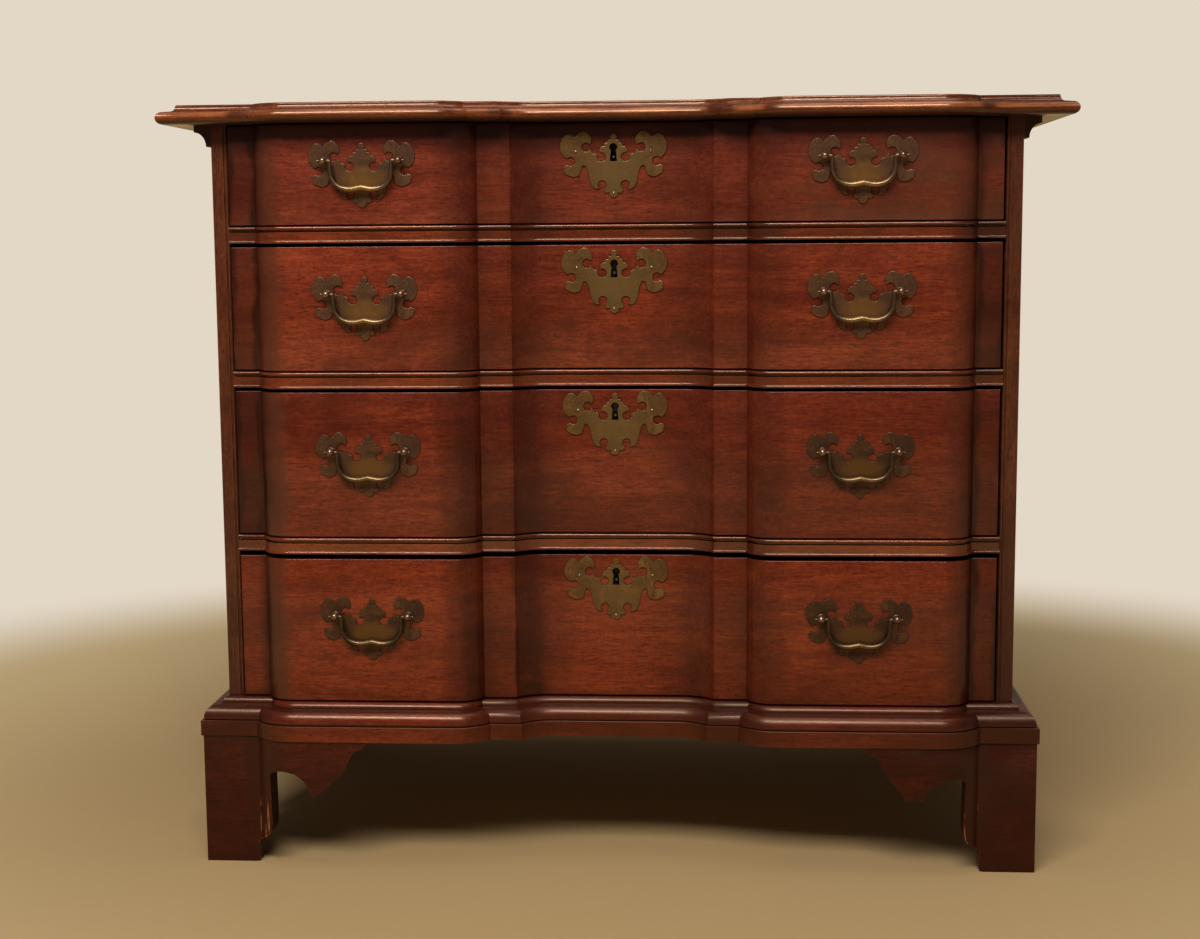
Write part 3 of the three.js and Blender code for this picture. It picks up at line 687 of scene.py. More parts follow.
def wood(
    name, axis, tones, gloss, edge,
    worn_and_lit_tone=WEAR, corner=0.014, amber=0.3, shine=1.0, shade=None, reflection_and_bloom=None, worn_and_lit_marks=None,
):
    """Polished wood with its grain along one axis: figure, pores, stain, painted reflection, darker parts,
    painted shade in its recesses, rubbed edges, and the caller's own marks of wear and painted light.
    """
    tree = new_tree(name)
    dark = tones[0]
    patterns = [tree.grain("figure", axis), tree.grain("streak", axis)]
    patterns += [tree.pattern("cloud"), tree.pattern("mottle")]
    colour = tree.toned(patterns, WOOD_SHARES, WOOD_STEPS, tones)
    pores = tree.spread(tree.grain("pore", axis), "pore")
    colour = tree.mix(tree.times(pores, PORE_SHARE), colour, scaled(dark, PORE_LEVEL))
    colour = tree.mix(tree.patches("stain"), colour, scaled(dark, STAIN_LEVEL))
    # Painted reflection, and on the top drawer its bloom
    if reflection_and_bloom:
        colour = tree.mix(reflection_and_bloom(tree), colour, REFLECTION_AND_BLOOM_TONE)
    shaded = shade(tree) if shade else 0.0
    if shade:
        colour = tree.mix(shaded, colour, DARKENING_AND_SHADE_TONE)
    # Painted shade in corners, quirks and under overhangs, by how closed in each point is
    colour = tree.mix(tree.times(tree.recesses(corner), RECESS_SHADE_SHARE), colour, DARKENING_AND_SHADE_TONE)
    bared = tree.times(tree.patches("rubbed_edges"), edge, tree.worn_edges(WOOD_EDGE), tree.less(1.0, shaded))
    colour = tree.mix(bared, colour, worn_and_lit_tone)
    # Wear and, on the top's nosing, painted light
    if worn_and_lit_marks:
        colour = tree.mix(worn_and_lit_marks(tree), colour, worn_and_lit_tone)
    sheen = tree.between(tree.pattern("sheen"), *SHEEN_LIMITS, *gloss)
    roughness = tree.added(sheen, tree.times(pores, PORE_DULL), tree.times(shaded, SHADE_DULL))
    fine = tree.bump(tree.less(1.0, pores), *PORE_BUMP)
    wavy = tree.bump(tree.grain("wave", axis), *WAVE_BUMP, fine)
    # The more amber, the stronger and warmer the reflection and the thinner the coat
    coat = COAT_LEVEL * (1 - amber) * shine
    level = (0.12 + 0.3 * amber) * shine
    tint = (1, 0.9 - 0.3 * amber, 0.8 - 0.45 * amber, 1)
    shader = {"Coat_Weight": coat, "Coat_Roughness": COAT_ROUGHNESS}
    return tree.finish(colour, roughness, wavy, Specular_IOR_Level=level, Specular_Tint=tint, **shader)


def raw_wood(name, axis, tones, over=None):
    """Unfinished wood: rings, fine lines, darker corners. Within `over` of the middle it is painted dark, as
    painted shadow under the top's front.
    """
    tree = new_tree(name)
    dark = tones[0]
    corner, share, level = RAW_CORNERS
    lines = tree.grain("lines", axis)
    colour = tree.toned([tree.grain("rings", axis), lines], RAW_SHARES, RAW_STEPS, tones)
    colour = tree.mix(tree.patches("raw_stain"), colour, scaled(dark, STAIN_LEVEL))
    colour = tree.mix(tree.times(tree.recesses(corner), share), colour, scaled(dark, level))
    # Painted shadow under the top's front overhang
    if over:
        away = tree.math("ABSOLUTE", tree.place()[0])
        colour = tree.mix(tree.between(away, over + UNDERSIDE_SHADE_EDGE, over - UNDERSIDE_SHADE_EDGE), colour, DARKENING_AND_SHADE_TONE)
    roughness = tree.between(lines, *GLOSS_LIMITS, *RAW_GLOSS)
    return tree.finish(colour, roughness, tree.bump(lines, *RAW_BUMP), Specular_IOR_Level=0.3)


def metal(name, tones, gloss, edge_tone, heart=None, metallic=0.85):
    """Aged metal: brown patina in clouds, a brighter heart, rubbed edges, fine scratches and pits."""
    tree = new_tree(name)
    corner, share, level = METAL_GRIME
    edge, edge_share = METAL_WEAR
    cloud = tree.pattern("patina")
    colour = tree.toned([cloud, tree.pattern("scratches")], METAL_SHARES, METAL_STEPS, tones)
    if heart:
        away = tree.length(tree.mapped((1 / heart["spread"], 0, 1), (0, 0, heart["drop"])))
        gilt = tree.times(tree.between(away, heart["radius"], HEART_RADIUS), heart["share"])
        colour = tree.mix(gilt, colour, heart["gold"])
    colour = tree.mix(tree.times(tree.recesses(corner), share), colour, scaled(tones[0], level))
    colour = tree.mix(tree.times(tree.worn_edges(edge), edge_share), colour, edge_tone)
    smoothest, roughest = gloss
    roughness = tree.between(cloud, *GLOSS_LIMITS, roughest, smoothest)
    return tree.finish(colour, roughness, tree.bump(cloud, *METAL_BUMP), Metallic=metallic)


def front_woods():
    woods = []
    for number, levels in enumerate(FRONT_TONE_AND_SHEEN_LEVELS, 1):
        tones = [tuple(part * level for part, level in zip(tone, levels)) for tone in RED_TONES]
        # On the top drawer the recess shade reaches further: painted shadow under the top's overhang
        reflection_and_bloom, corner = (turn_reflection_and_bloom, 0.034) if number == 1 else (painted_turn_reflection, 0.018)
        looks = {"corner": corner, "amber": 0.1, "shade": front_shade, "reflection_and_bloom": reflection_and_bloom}
        woods.append(wood(f"mahogany_front_{number}", 0, tones, (0.19, 0.3), 0.25, **looks))
    return woods


def plate_metals(side):
    metals = []
    for number, level in enumerate(PLATE_LEVELS[side], 1):
        gold = scaled(PLATE_GOLD, level)
        heart = {"share": 0.9, "radius": 0.0185, "drop": 0.0185, "spread": 1.6, "gold": gold}
        tones = scaled_all(BRASS_TONES, level)
        metals.append(metal(f"brass_plate_{number}_{side}", tones, (0.36, 0.5), (0.26, 0.18, 0.1), heart))
    return metals


def bail_metals():
    metals = []
    for number, level in enumerate(BAIL_LEVELS, 1):
        heart = {"share": 0.9, "radius": 0.026, "drop": 0.028, "spread": 1, "gold": scaled(BAIL_GOLD, level)}
        tones = scaled_all(BAIL_TONES, level)
        metals.append(metal(f"brass_bail_{number}", tones, (0.28, 0.42), scaled(BAIL_EDGE, level), heart))
    return metals


FRONT_WOODS = front_woods()
RAIL_LOOKS = {"corner": 0.005, "amber": 0.7, "shine": 2.1, "shade": plan_shade(RAIL_SHADES)}
RAIL_WOOD = wood("mahogany_rail", 0, RAIL_TONES, (0.12, 0.2), 0.6, **RAIL_LOOKS)
BASE_WOOD = wood("mahogany_base", 0, BASE_TONES, (0.2, 0.3), 0.4, amber=0.8, shine=1.15, shade=base_shade)
TOP_LOOKS = {"worn_and_lit_tone": TOP_WEAR_AND_LIGHT, "amber": 0.75, "shine": 1.5, "shade": nose_shade, "worn_and_lit_marks": nose_wear_and_light}
TOP_WOOD = wood("mahogany_top", 0, TOP_TONES, (0.12, 0.2), 0.9, **TOP_LOOKS)
CASE_WOOD = wood("mahogany_case", 2, CASE_TONES, (0.26, 0.4), 0.35, shade=case_shade)
# Darker end grain, and painted shadow of the top
COVE_WOOD = wood("mahogany_cove", 1, scaled_all(CASE_TONES, COVE_SHADE_LEVEL), (0.3, 0.45), 0.1)
LENGTH_WOOD = wood("mahogany_case_along", 1, CASE_TONES, (0.26, 0.4), 0.3)
FOOT_LOOKS = {"worn_and_lit_tone": FOOT_WEAR, "amber": 0.5, "shade": foot_shade, "worn_and_lit_marks": foot_chips}
FOOT_WOOD = wood("mahogany_foot", 0, FOOT_TONES, (0.24, 0.36), 0.12, **FOOT_LOOKS)
POPLAR_X = raw_wood("poplar_x", 0, POPLAR_TONES)
POPLAR_Y = raw_wood("poplar_y", 1, POPLAR_TONES)
RAW_TOP = raw_wood("raw_underside", 0, LIT_UNDERSIDE_TONES, SHADED_UNDERSIDE_HALF)
DRAWER_WOODS = {"side_left": POPLAR_Y, "side_right": POPLAR_Y, "bottom": POPLAR_X, "back": POPLAR_X}
PLATE_METALS = {side: plate_metals(side) for side in PLATE_LEVELS}
SHIELD_HEART = {"share": 0.45, "radius": 0.045, "drop": 0.016, "spread": 1, "gold": SHIELD_GOLD}
SHIELD_BRASS = metal("brass_escutcheon", SHIELD_TONES, (0.36, 0.5), (0.3, 0.23, 0.13), SHIELD_HEART)
BAIL_METALS = bail_metals()
NAIL_BRASS = metal("brass_nail", NAIL_TONES, (0.22, 0.34), (0.6, 0.5, 0.34))
POST_BRASS = metal("brass_post", POST_TONES, (0.2, 0.32), (0.5, 0.34, 0.22))
IRON = metal("lock_iron", IRON_TONES, (0.45, 0.65), (0.3, 0.28, 0.25), metallic=0.75)


def smooth(mesh, degrees=SHARP_ANGLE):
    mesh.polygons.foreach_set("use_smooth", [True] * len(mesh.polygons))
    mesh.set_sharp_from_angle(angle=math.radians(degrees))
    mesh.update()


def linked(name, data):
    made = bpy.data.objects.new(name, data)
    bpy.context.scene.collection.objects.link(made)
    return made


def new_object(name, mesh, material, degrees=SHARP_ANGLE):
    piece = linked(name, mesh)
    if material is not None and not mesh.materials:
        mesh.materials.append(material)
    smooth(mesh, degrees)
    return piece


def to_mesh(build, name):
    mesh = bpy.data.meshes.new(name)
    build.to_mesh(mesh)
    build.free()
    return mesh


def clean(build, name, triangles=False):
    bmesh.ops.remove_doubles(build, verts=build.verts, dist=WELD)
    bmesh.ops.dissolve_degenerate(build, edges=build.edges, dist=WELD)
    if triangles:
        bmesh.ops.triangulate(build, faces=build.faces)
    bmesh.ops.recalc_face_normals(build, faces=build.faces)
    return to_mesh(build, name)


def bridge(build, near, far):
    """Faces between two rows of points; a row of one point closes to it."""
    count = max(len(near), len(far))
    for side in range(count):
        after = (side + 1) % count
        ring = [near[side % len(near)], near[after % len(near)]]
        ring += [far[after % len(far)], far[side % len(far)]]
        build.faces.new(list(dict.fromkeys(ring)))


def skin(name, rows_of_points, to_place, triangles=False):
    """A closed skin through rows of points, capped at both ends."""
    build = bmesh.new()
    rows = [[build.verts.new(to_place(*point)) for point in row] for row in rows_of_points]
    for near, far in zip(rows, rows[1:]):
        bridge(build, near, far)
    for row in (rows[0], rows[-1]):
        if len(row) > 1:
            build.faces.new(row)
    return clean(build, name, triangles)


def lofted(name, rings, to_place=place):
    return skin(name, rings, to_place)


def metres(x, y, z):
    return Vector((x, y, z)) * MM


def swing(start, stop, steps):
    return [start + (stop - start) * step / steps for step in range(steps + 1)]


def arc(centre_x, centre_out, radius, *turn):
    return [(centre_x + radius * math.sin(a), centre_out + radius * math.cos(a)) for a in swing(*turn)]


def round_points(centre, height, radius, *turn):
    return [(centre + radius * math.cos(a), height + radius * math.sin(a)) for a in swing(*turn)]


def swell(x, z, run, rise, steps):
    """A quarter turn that bulges: up from its widest point to its crest."""
    return [(x + run * math.cos(a), z + rise * math.sin(a)) for a in swing(0, QUARTER, steps)]


def hollow(x, z, run, rise, steps):
    """A quarter turn that is scooped out, from its foot inwards."""
    return [(x - run * math.sin(a), z + rise * (1 - math.cos(a))) for a in swing(0, QUARTER, steps)]


def arc_run(radius, rise):
    return math.sqrt(radius * radius - (radius - rise) ** 2)


def right_half(line, offset, end):
    """Right half of a blocked line moved out by an offset: hollow, inner turn, outer turn and end flat."""
    shift = offset - line["proud"]
    hollow_x = line["arris"] - arc_run(HOLLOW_RADIUS, HOLLOW_DEPTH + STRIP_PROUD)
    hollow_out = HOLLOW_RADIUS - HOLLOW_DEPTH
    scoop = HOLLOW_RADIUS - shift
    hollow_turn = math.acos((hollow_out - STRIP_PROUD - shift) / scoop)
    block_out = BLOCK_PROUD - line["radius"]
    turned = line["radius"] + shift
    inner_x = line["inner"] + arc_run(line["radius"], BLOCK_PROUD - STRIP_PROUD)
    outer_x = line["outer"] - arc_run(line["radius"], BLOCK_PROUD)
    inner_turn = math.acos((STRIP_PROUD + shift - block_out) / turned)
    outer_turn = math.acos((shift - block_out) / turned)
    points = arc(hollow_x, hollow_out, scoop, math.pi, math.pi - hollow_turn, ARC_STEPS)
    points += arc(inner_x, block_out, turned, -inner_turn, 0, ARC_STEPS)
    points += arc(outer_x, block_out, turned, 0, outer_turn, ARC_STEPS)
    points.append((end, shift))
    return [(x, out + line["proud"]) for x, out in points]


def full_line(line, offset, end):
    right = right_half(line, offset, end)
    return [(-x, out) for x, out in reversed(right)] + right


def front_y(out):
    return -FLAT_PROUD - out


def blocked_piece(name, material, line, profile, back_y, end, mitred=False):
    """A piece whose front follows a blocked line. The profile is offset and height, from the foot up."""
    lines = [full_line(line, offset, end + offset if mitred else end) for offset, _ in profile]
    back_end = end - back_y - FLAT_PROUD if mitred else end
    rings = []
    for station, (back_x, _) in enumerate(full_line(line, 0, back_end)):
        ring = []
        for level, (_, z) in enumerate(profile):
            x, out = lines[level][station]
            ring.append((x, front_y(out), z))
        ring.append((back_x, back_y, profile[-1][1]))
        ring.append((back_x, back_y, profile[0][1]))
        rings.append(ring)
    return new_object(name, lofted(name, rings), material)


def prism(name, outline, start, stop, axis):
    """An outline drawn out along X, Y or Z. Its points hold the other two coordinates in order."""
    rows = [[(*pair[:axis], depth, *pair[axis:]) for pair in outline] for depth in (start, stop)]
    return skin(name, rows, place, triangles=True)


def on_hand(hand, *limits):
    return sorted(hand * limit for limit in limits)


def box_points(x0, x1, z0, z1):
    return [(x0, z0), (x1, z0), (x1, z1), (x0, z1)]


def applied(piece):
    """Makes the piece's modifiers real."""
    bpy.context.view_layer.update()
    view = bpy.context.evaluated_depsgraph_get()
    mesh = bpy.data.meshes.new_from_object(piece.evaluated_get(view))
    piece.modifiers.clear()
    old = piece.data
    piece.data = mesh
    mesh.name = old.name
    bpy.data.meshes.remove(old)


def combined(piece, other_mesh, operation):
    """Cuts or joins another closed mesh into the piece."""
    other = linked("tool", other_mesh)
    change = piece.modifiers.new("change", "BOOLEAN")
    change.object = other
    change.operation = operation
    change.solver = "EXACT"
    applied(piece)
    bpy.data.objects.remove(other)


def rounded(piece, width, segments, degrees):
    """Eases every sharp arris of the piece."""
    ease = piece.modifiers.new("ease", "BEVEL")
    ease.width = width * MM
    ease.segments = segments
    ease.limit_method = "ANGLE"
    ease.angle_limit = math.radians(degrees)
    ease.use_clamp_overlap = True
    ease.harden_normals = False
    applied(piece)
    smooth(piece.data)


def settle(piece, body, slot, *nodes):
    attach(piece, body)
    if nodes:
        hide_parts(*nodes)


def blended(t, a, b, c, d):
    square, cube = t * t, t ** 3
    return 0.5 * (2 * b + (c - a) * t + (2 * a - 5 * b + 4 * c - d) * square + (3 * b - a - 3 * c + d) * cube)


def curved(points, steps):
    """A smooth run through the points, ends kept."""
    padded = [points[0], *points, points[-1]]
    run = []
    for index in range(1, len(padded) - 2):
        before, here, there, after = padded[index - 1 : index + 3]
        for step in range(steps):
            t = step / steps
            run.append(tuple(blended(t, *values) for values in zip(before, here, there, after)))
    run.append(points[-1])
    return run


def make_top():
    nose = NOSE_HEIGHT / 2
    profile = round_points(-nose, nose, nose, -QUARTER, QUARTER, NOSE_STEPS)
    lip_start = -nose - NOSE_LEDGE
    lip_foot = NOSE_HEIGHT + NOSE_LEDGE_RISE
    lip_rise = TOP_THICKNESS - LIP_ROUND - lip_foot
    profile += hollow(lip_start, lip_foot, LIP_RUN, lip_rise, COVE_STEPS)
    lip_end = lip_start - LIP_RUN - LIP_ROUND
    profile += swell(lip_end, lip_foot + lip_rise, LIP_ROUND, LIP_ROUND, EASE_STEPS)[1:]
    loops = []
    for offset, rise in profile:
        end = CASE_HALF + TOP_SIDE_OVERHANG + offset
        level = CASE_TOP + rise
        edge = [(x, front_y(out), level) for x, out in full_line(TOP_LINE, TOP_LINE["proud"] + offset, end)]
        loops.append([(-end, CHEST_BACK, level), *edge, (end, CHEST_BACK, level)])
    mesh = lofted("top_board", loops)
    mesh.materials.append(TOP_WOOD)
    mesh.materials.append(RAW_TOP)
    for face in mesh.polygons:
        if face.normal.z < UNDERSIDE_TILT and face.area > UNDERSIDE_AREA:
            face.material_index = 1
    top = new_object("top_board", mesh, None, TOP_SHARP_ANGLE)
    settle(top, "case", "mahogany_case", "top")


def make_coves():
    proud = CASE_HALF + COVE_PROUD
    run = COVE_PROUD - COVE_FOOT
    points = [(CASE_HALF, CASE_TOP), (proud, CASE_TOP)]
    points += hollow(proud, CASE_TOP - COVE_FILLET, run, COVE_FILLET - COVE_HEIGHT, COVE_STEPS)
    points.append((CASE_HALF, CASE_TOP - COVE_HEIGHT))
    for side, hand in SIDES:
        rings = [[(hand * x, y, z) for x, z in points] for y in (0, CASE_DEPTH)]
        piece = new_object(f"top_cove_{side}", lofted(f"top_cove_{side}", rings), COVE_WOOD)
        settle(piece, "case", "mahogany_case", f"cove_{side}")


def make_rail(number, foot):
    bead = RAIL_BEAD / 2
    face = RAIL_CREST - bead
    profile = round_points(face, foot + bead, bead, -QUARTER, QUARTER, BEAD_STEPS)
    quirk = foot + RAIL_HEIGHT - RAIL_BEAD
    profile += [(face, quirk - RAIL_QUIRK), (face - RAIL_QUIRK, quirk - QUIRK_SHARE * RAIL_QUIRK)]
    profile.append((face - RAIL_QUIRK, quirk))
    profile += round_points(face, foot + RAIL_HEIGHT - bead, bead, -QUARTER, QUARTER, BEAD_STEPS)
    piece = blocked_piece(f"beaded_rail_{number}", RAIL_WOOD, DRAWER_LINE, profile, RAIL_DEPTH, INSIDE)
    settle(piece, "case", "mahogany_front", f"divider_rail_{number}")


def base_profile():
    fascia_top = FOOT_HEIGHT + FASCIA_HEIGHT
    ovolo_foot = fascia_top + FASCIA_FILLET
    proud = BASE_LINE["proud"]
    profile = [(proud - FASCIA_EASE, FOOT_HEIGHT), (proud, FOOT_HEIGHT + FASCIA_EASE)]
    profile += [(proud, fascia_top - FASCIA_EASE), (proud - FASCIA_EASE, fascia_top)]
    profile += [(OVOLO_PROUD - OVOLO_QUIRK, fascia_top), (OVOLO_PROUD - OVOLO_QUIRK, ovolo_foot)]
    profile += swell(OVOLO_STEP, ovolo_foot, OVOLO_PROUD - OVOLO_STEP, OVOLO_HEIGHT, COVE_STEPS)
    return profile + swell(0, BASE_TOP - BEAD_HEIGHT, BEAD_PROUD, BEAD_HEIGHT, COVE_STEPS)


def make_base():
    profile = base_profile()
    front = blocked_piece("base_front", BASE_WOOD, BASE_LINE, profile, BASE_BACK, CASE_HALF - BASE_FIT, True)
    for side, hand in SIDES:
        near, far = on_hand(hand, INSIDE - BASE_FIT, CASE_HALF + BASE_LINE["proud"])
        outline = box_points(near, far, -BASE_FIT, BASE_BACK + OVERRUN)
        housing = prism("housing", outline, FOOT_HEIGHT - OVERRUN, BASE_TOP + OVERRUN, 2)
        combined(front, housing, "DIFFERENCE")
    smooth(front.data)
    settle(front, "case", "mahogany_front", "base_moulding_front")
    section = [*profile, (0, FOOT_HEIGHT)]
    for side, hand in SIDES:
        near = [(hand * (CASE_HALF + offset), front_y(offset), z) for offset, z in section]
        far = [(x, CASE_DEPTH, z) for x, _, z in near]
        piece = new_object(f"base_{side}", lofted(f"base_{side}", [near, far]), LENGTH_WOOD)
        settle(piece, "case", "mahogany_case", f"base_moulding_{side}")


# Scroll of a bracket foot in shares of its height, run measured in from its outer face
SCROLL_HEEL = (0.39, 0)
SCROLL_RUNS = (
    ((0.415, 0.022), (0.415, 0.161)),
    ((0.415, 0.161), (0.432, 0.178), (0.475, 0.21), (0.52, 0.25), (0.543, 0.31), (0.547, 0.41), (0.537, 0.7)),
    ((0.537, 0.7), (0.548, 0.735), (0.6, 0.757), (0.68, 0.758), (0.75, 0.735), (0.81, 0.685), (0.852, 0.622)),
)
SHARP_TIP = ((0.852, 0.622), (0.868, 0.583), (0.888, 0.571), (0.93, 0.595), (1.03, 0.69), (1.085, 0.73))
BLUNT_TIP = (
    (0.852, 0.622), (0.857, 0.6), (0.872, 0.594), (0.93, 0.592), (0.985, 0.595), (1, 0.618), (1.085, 0.73),
)
SCROLL_END = ((1.085, 0.73), (1.13, 0.79), (1.198, 0.92), (1.26, 0.944))
SCROLL_TOP = (1.316, 1)


def scroll_points(tip=SHARP_TIP):
    """Outline of a bracket; the point of the right front one has broken off blunt."""
    points = [(0, 0), SCROLL_HEEL]
    for run in (*SCROLL_RUNS, tip, SCROLL_END):
        points += curved(run, CURVE_STEPS)[:-1]
    points += [SCROLL_END[-1], SCROLL_TOP, (0, 1)]
    return [(run * FOOT_HEIGHT, rise * FOOT_HEIGHT) for run, rise in points]


def front_foot(side, hand):
    outer_offset = BASE_LINE["proud"] - FOOT_SET_BACK
    outer = CASE_HALF + outer_offset

    def face(offset):
        turned = right_half(BASE_LINE, offset, CASE_HALF + offset)[-ARC_STEPS - 2 :]
        return [(hand * x, front_y(out)) for x, out in [(outer - FOOT_SPAN, BLOCK_PROUD + offset), *turned]]

    loop = face(outer_offset) + face(outer_offset - FOOT_BOARD)[::-1]
    rings = [[(x, y, z) for x, y in loop] for z in (0, FOOT_HEIGHT)]
    name = f"bracket_foot_front_{side}"
    foot = new_object(name, lofted(name, rings), FOOT_WOOD)
    front = front_y(outer_offset)
    inner = front + FOOT_BOARD
    scroll = [(hand * (outer - run), z) for run, z in scroll_points(BLUNT_TIP if hand > 0 else SHARP_TIP)]
    combined(foot, prism("scroll", scroll, front - BLOCK_PROUD - OVERRUN, inner + OVERRUN, 1), "INTERSECT")
    near, far = on_hand(hand, outer, outer - FOOT_BOARD)
    flank = [(front + run, z) for run, z in scroll_points()]
    combined(foot, prism("flank", flank, near, far, 0), "UNION")
    near, far = on_hand(hand, outer - FOOT_BOARD + GLUE_LAP, outer - FOOT_BOARD - GLUE_BLOCK)
    glued = box_points(near, far, inner - GLUE_LAP, inner + GLUE_BLOCK)
    combined(foot, prism("glue", glued, 0, FOOT_HEIGHT, 2), "UNION")
    rounded(foot, FOOT_EASE, 2, FOOT_BEVEL_ANGLE)
    settle(foot, "case", "mahogany_case", f"foot_front_{side}")


def rear_foot(side, hand):
    outer = CASE_HALF + BASE_LINE["proud"] - FOOT_SET_BACK
    near, far = on_hand(hand, outer, outer - FOOT_BOARD)
    flank = [(CASE_DEPTH - run, z) for run, z in scroll_points()]
    name = f"bracket_foot_rear_{side}"
    foot = new_object(name, prism(name, flank, near, far, 0), FOOT_WOOD)
    knee = (REAR_KNEE, REAR_KNEE_HEIGHT)
    rear = [(0, 0), (REAR_HEEL, 0), knee, (REAR_REACH, FOOT_HEIGHT), (0, FOOT_HEIGHT)]
    board = [(hand * (outer - run), z) for run, z in rear]
    combined(foot, prism("rear", board, CASE_DEPTH - REAR_BOARD, CASE_DEPTH, 1), "UNION")
    rounded(foot, FOOT_EASE, 2, FOOT_BEVEL_ANGLE)
    settle(foot, "case", "mahogany_case", f"foot_rear_{side}")


def keyhole_points(shift, rise):
    """Outline of a keyhole about a point: a round eye over a slot that flares to its foot."""
    start = math.asin(KEYHOLE_SLOT / KEYHOLE_EYE)
    eye = round_points(0, 0, KEYHOLE_EYE, -QUARTER + start, 3 * QUARTER - start, KEYHOLE_STEPS)
    foot = KEYHOLE_EYE - KEYHOLE_LENGTH
    return [(x + shift, z + rise) for x, z in [*eye, (-KEYHOLE_FLARE, foot), (KEYHOLE_FLARE, foot)]]


def make_front(number, foot, head, keyhole_z):
    edge = FRONT_EDGE
    profile = hollow(-edge, foot, -edge, edge, EASE_STEPS)
    profile += swell(-edge, head - edge, edge, edge, EASE_STEPS)
    name = f"blocked_front_{number}"
    end = INSIDE - DRAWER_SIDE_GAP
    front = blocked_piece(name, FRONT_WOODS[number - 1], DRAWER_LINE, profile, FRONT_BACK, end)
    keyway = keyhole_points(KEYHOLE_SHIFT, keyhole_z)
    combined(front, prism("keyway", keyway, -OVERRUN, FRONT_BACK + OVERRUN, 1), "DIFFERENCE")
    for vertex in front.data.vertices:
        if vertex.co.x > (end - FRONT_EDGE) * MM:
            vertex.co.x -= RIGHT_END_SHORT * MM
    smooth(front.data)
    settle(front, f"drawer_{number}", "mahogany_front", f"drawer_{number}_front")


# Right half of the cut plate from the top down, in shares of its reach
PLATE_RUNS = (
    ("arc", (0, 0.267), 0.062, 90, -48),
    ("line", (0.05, 0.21), (0.08, 0.215), (0.105, 0.203), (0.114, 0.18), (0.108, 0.158), (0.138, 0.158)),
    ("line", (0.165, 0.143), (0.174, 0.118), (0.166, 0.095), (0.2, 0.094), (0.236, 0.074), (0.262, 0.038)),
    ("line", (0.262, 0.01)),
    ("arc", (0.226, -0.104), 0.085, 70, 380),
    ("line", (0.311, -0.066), (0.36, -0.04), (0.387, -0.042), (0.41, 0.0), (0.443, 0.035)),
    ("arc", (0.519, 0.077), 0.085, 205, 500),
    ("line", (0.448, 0.133), (0.425, 0.149)),
    (
        "curve", (0.425, 0.149), (0.411, 0.225), (0.443, 0.3), (0.49, 0.349), (0.557, 0.372), (0.65, 0.338),
        (0.722, 0.262),
    ),
    (
        "curve", (0.73, 0.262), (0.78, 0.312), (0.86, 0.326), (0.95, 0.25), (0.998, 0.134), (0.99, 0.02),
        (0.955, -0.06), (0.89, -0.125),
    ),
    ("arc", (0.802, -0.185), 0.085, 45, 315),
    ("curve", (0.925, -0.268), (0.935, -0.34), (0.9, -0.412), (0.82, -0.455), (0.755, -0.475)),
    (
        "curve", (0.745, -0.472), (0.655, -0.445), (0.613, -0.36), (0.596, -0.287), (0.56, -0.262),
        (0.519, -0.281), (0.481, -0.358), (0.462, -0.453), (0.434, -0.568), (0.387, -0.664), (0.33, -0.694),
        (0.262, -0.7),
    ),
    ("arc", (0.217, -0.623), 0.085, -50, 230),
    ("line", (0.185, -0.73), (0.142, -0.777), (0.088, -0.762)),
    ("arc", (0, -0.774), 0.085, 5, -90),
)


def plate_points():
    right = []
    for kind, *run in PLATE_RUNS:
        if kind == "arc":
            centre, radius, start, stop = run
            steps = max(FEWEST_PLATE_STEPS, abs(stop - start) // PLATE_ARC_STEP)
            right += round_points(*centre, radius, math.radians(start), math.radians(stop), steps)
        else:
            right += curved(run, CURVE_STEPS) if kind == "curve" else run
    right[0] = (0, right[0][1])
    right[-1] = (0, right[-1][1])
    left = [(-x, z) for x, z in reversed(right[1:-1])]
    return [(x * PLATE_REACH, z * PLATE_REACH) for x, z in right + left]


def cut_sheet(name, loops, thickness, edge):
    """Sheet metal with eased edges, its outline in X and Z and its back on the plane Y = 0."""
    outline = bpy.data.curves.new(name, "CURVE")
    outline.dimensions = "2D"
    outline.fill_mode = "BOTH"
    outline.extrude = (thickness / 2 - edge) * MM
    outline.bevel_depth = edge * MM
    outline.bevel_resolution = 1
    outline.offset = -edge * MM
    for loop in loops:
        spline = outline.splines.new("POLY")
        spline.points.add(len(loop) - 1)
        for point, (x, z) in zip(spline.points, loop):
            point.co = (x * MM, z * MM, 0, 1)
        spline.use_cyclic_u = True
    holder = linked(name, outline)
    bpy.context.view_layer.update()
    mesh = bpy.data.meshes.new_from_object(holder.evaluated_get(bpy.context.evaluated_depsgraph_get()))
    bpy.data.objects.remove(holder)
    build = bmesh.new()
    build.from_mesh(mesh)
    bpy.data.meshes.remove(mesh)
    turn = Matrix.Translation((0, -thickness / 2 * MM, 0)) @ Matrix.Rotation(QUARTER, 4, "X")
    bmesh.ops.transform(build, matrix=turn, verts=build.verts)
    return clean(build, name)


def turned(name, profile, sides):
    """A turned piece standing out along -Y from the plane Y = 0. The profile is radius and height."""
    angles = swing(0, 4 * QUARTER, sides)[:-1]
    rows = []
    for radius, out in profile:
        around = angles if radius else angles[:1]
        rows.append([(radius * math.cos(a), -out, radius * math.sin(a)) for a in around])
    return skin(name, rows, metres)


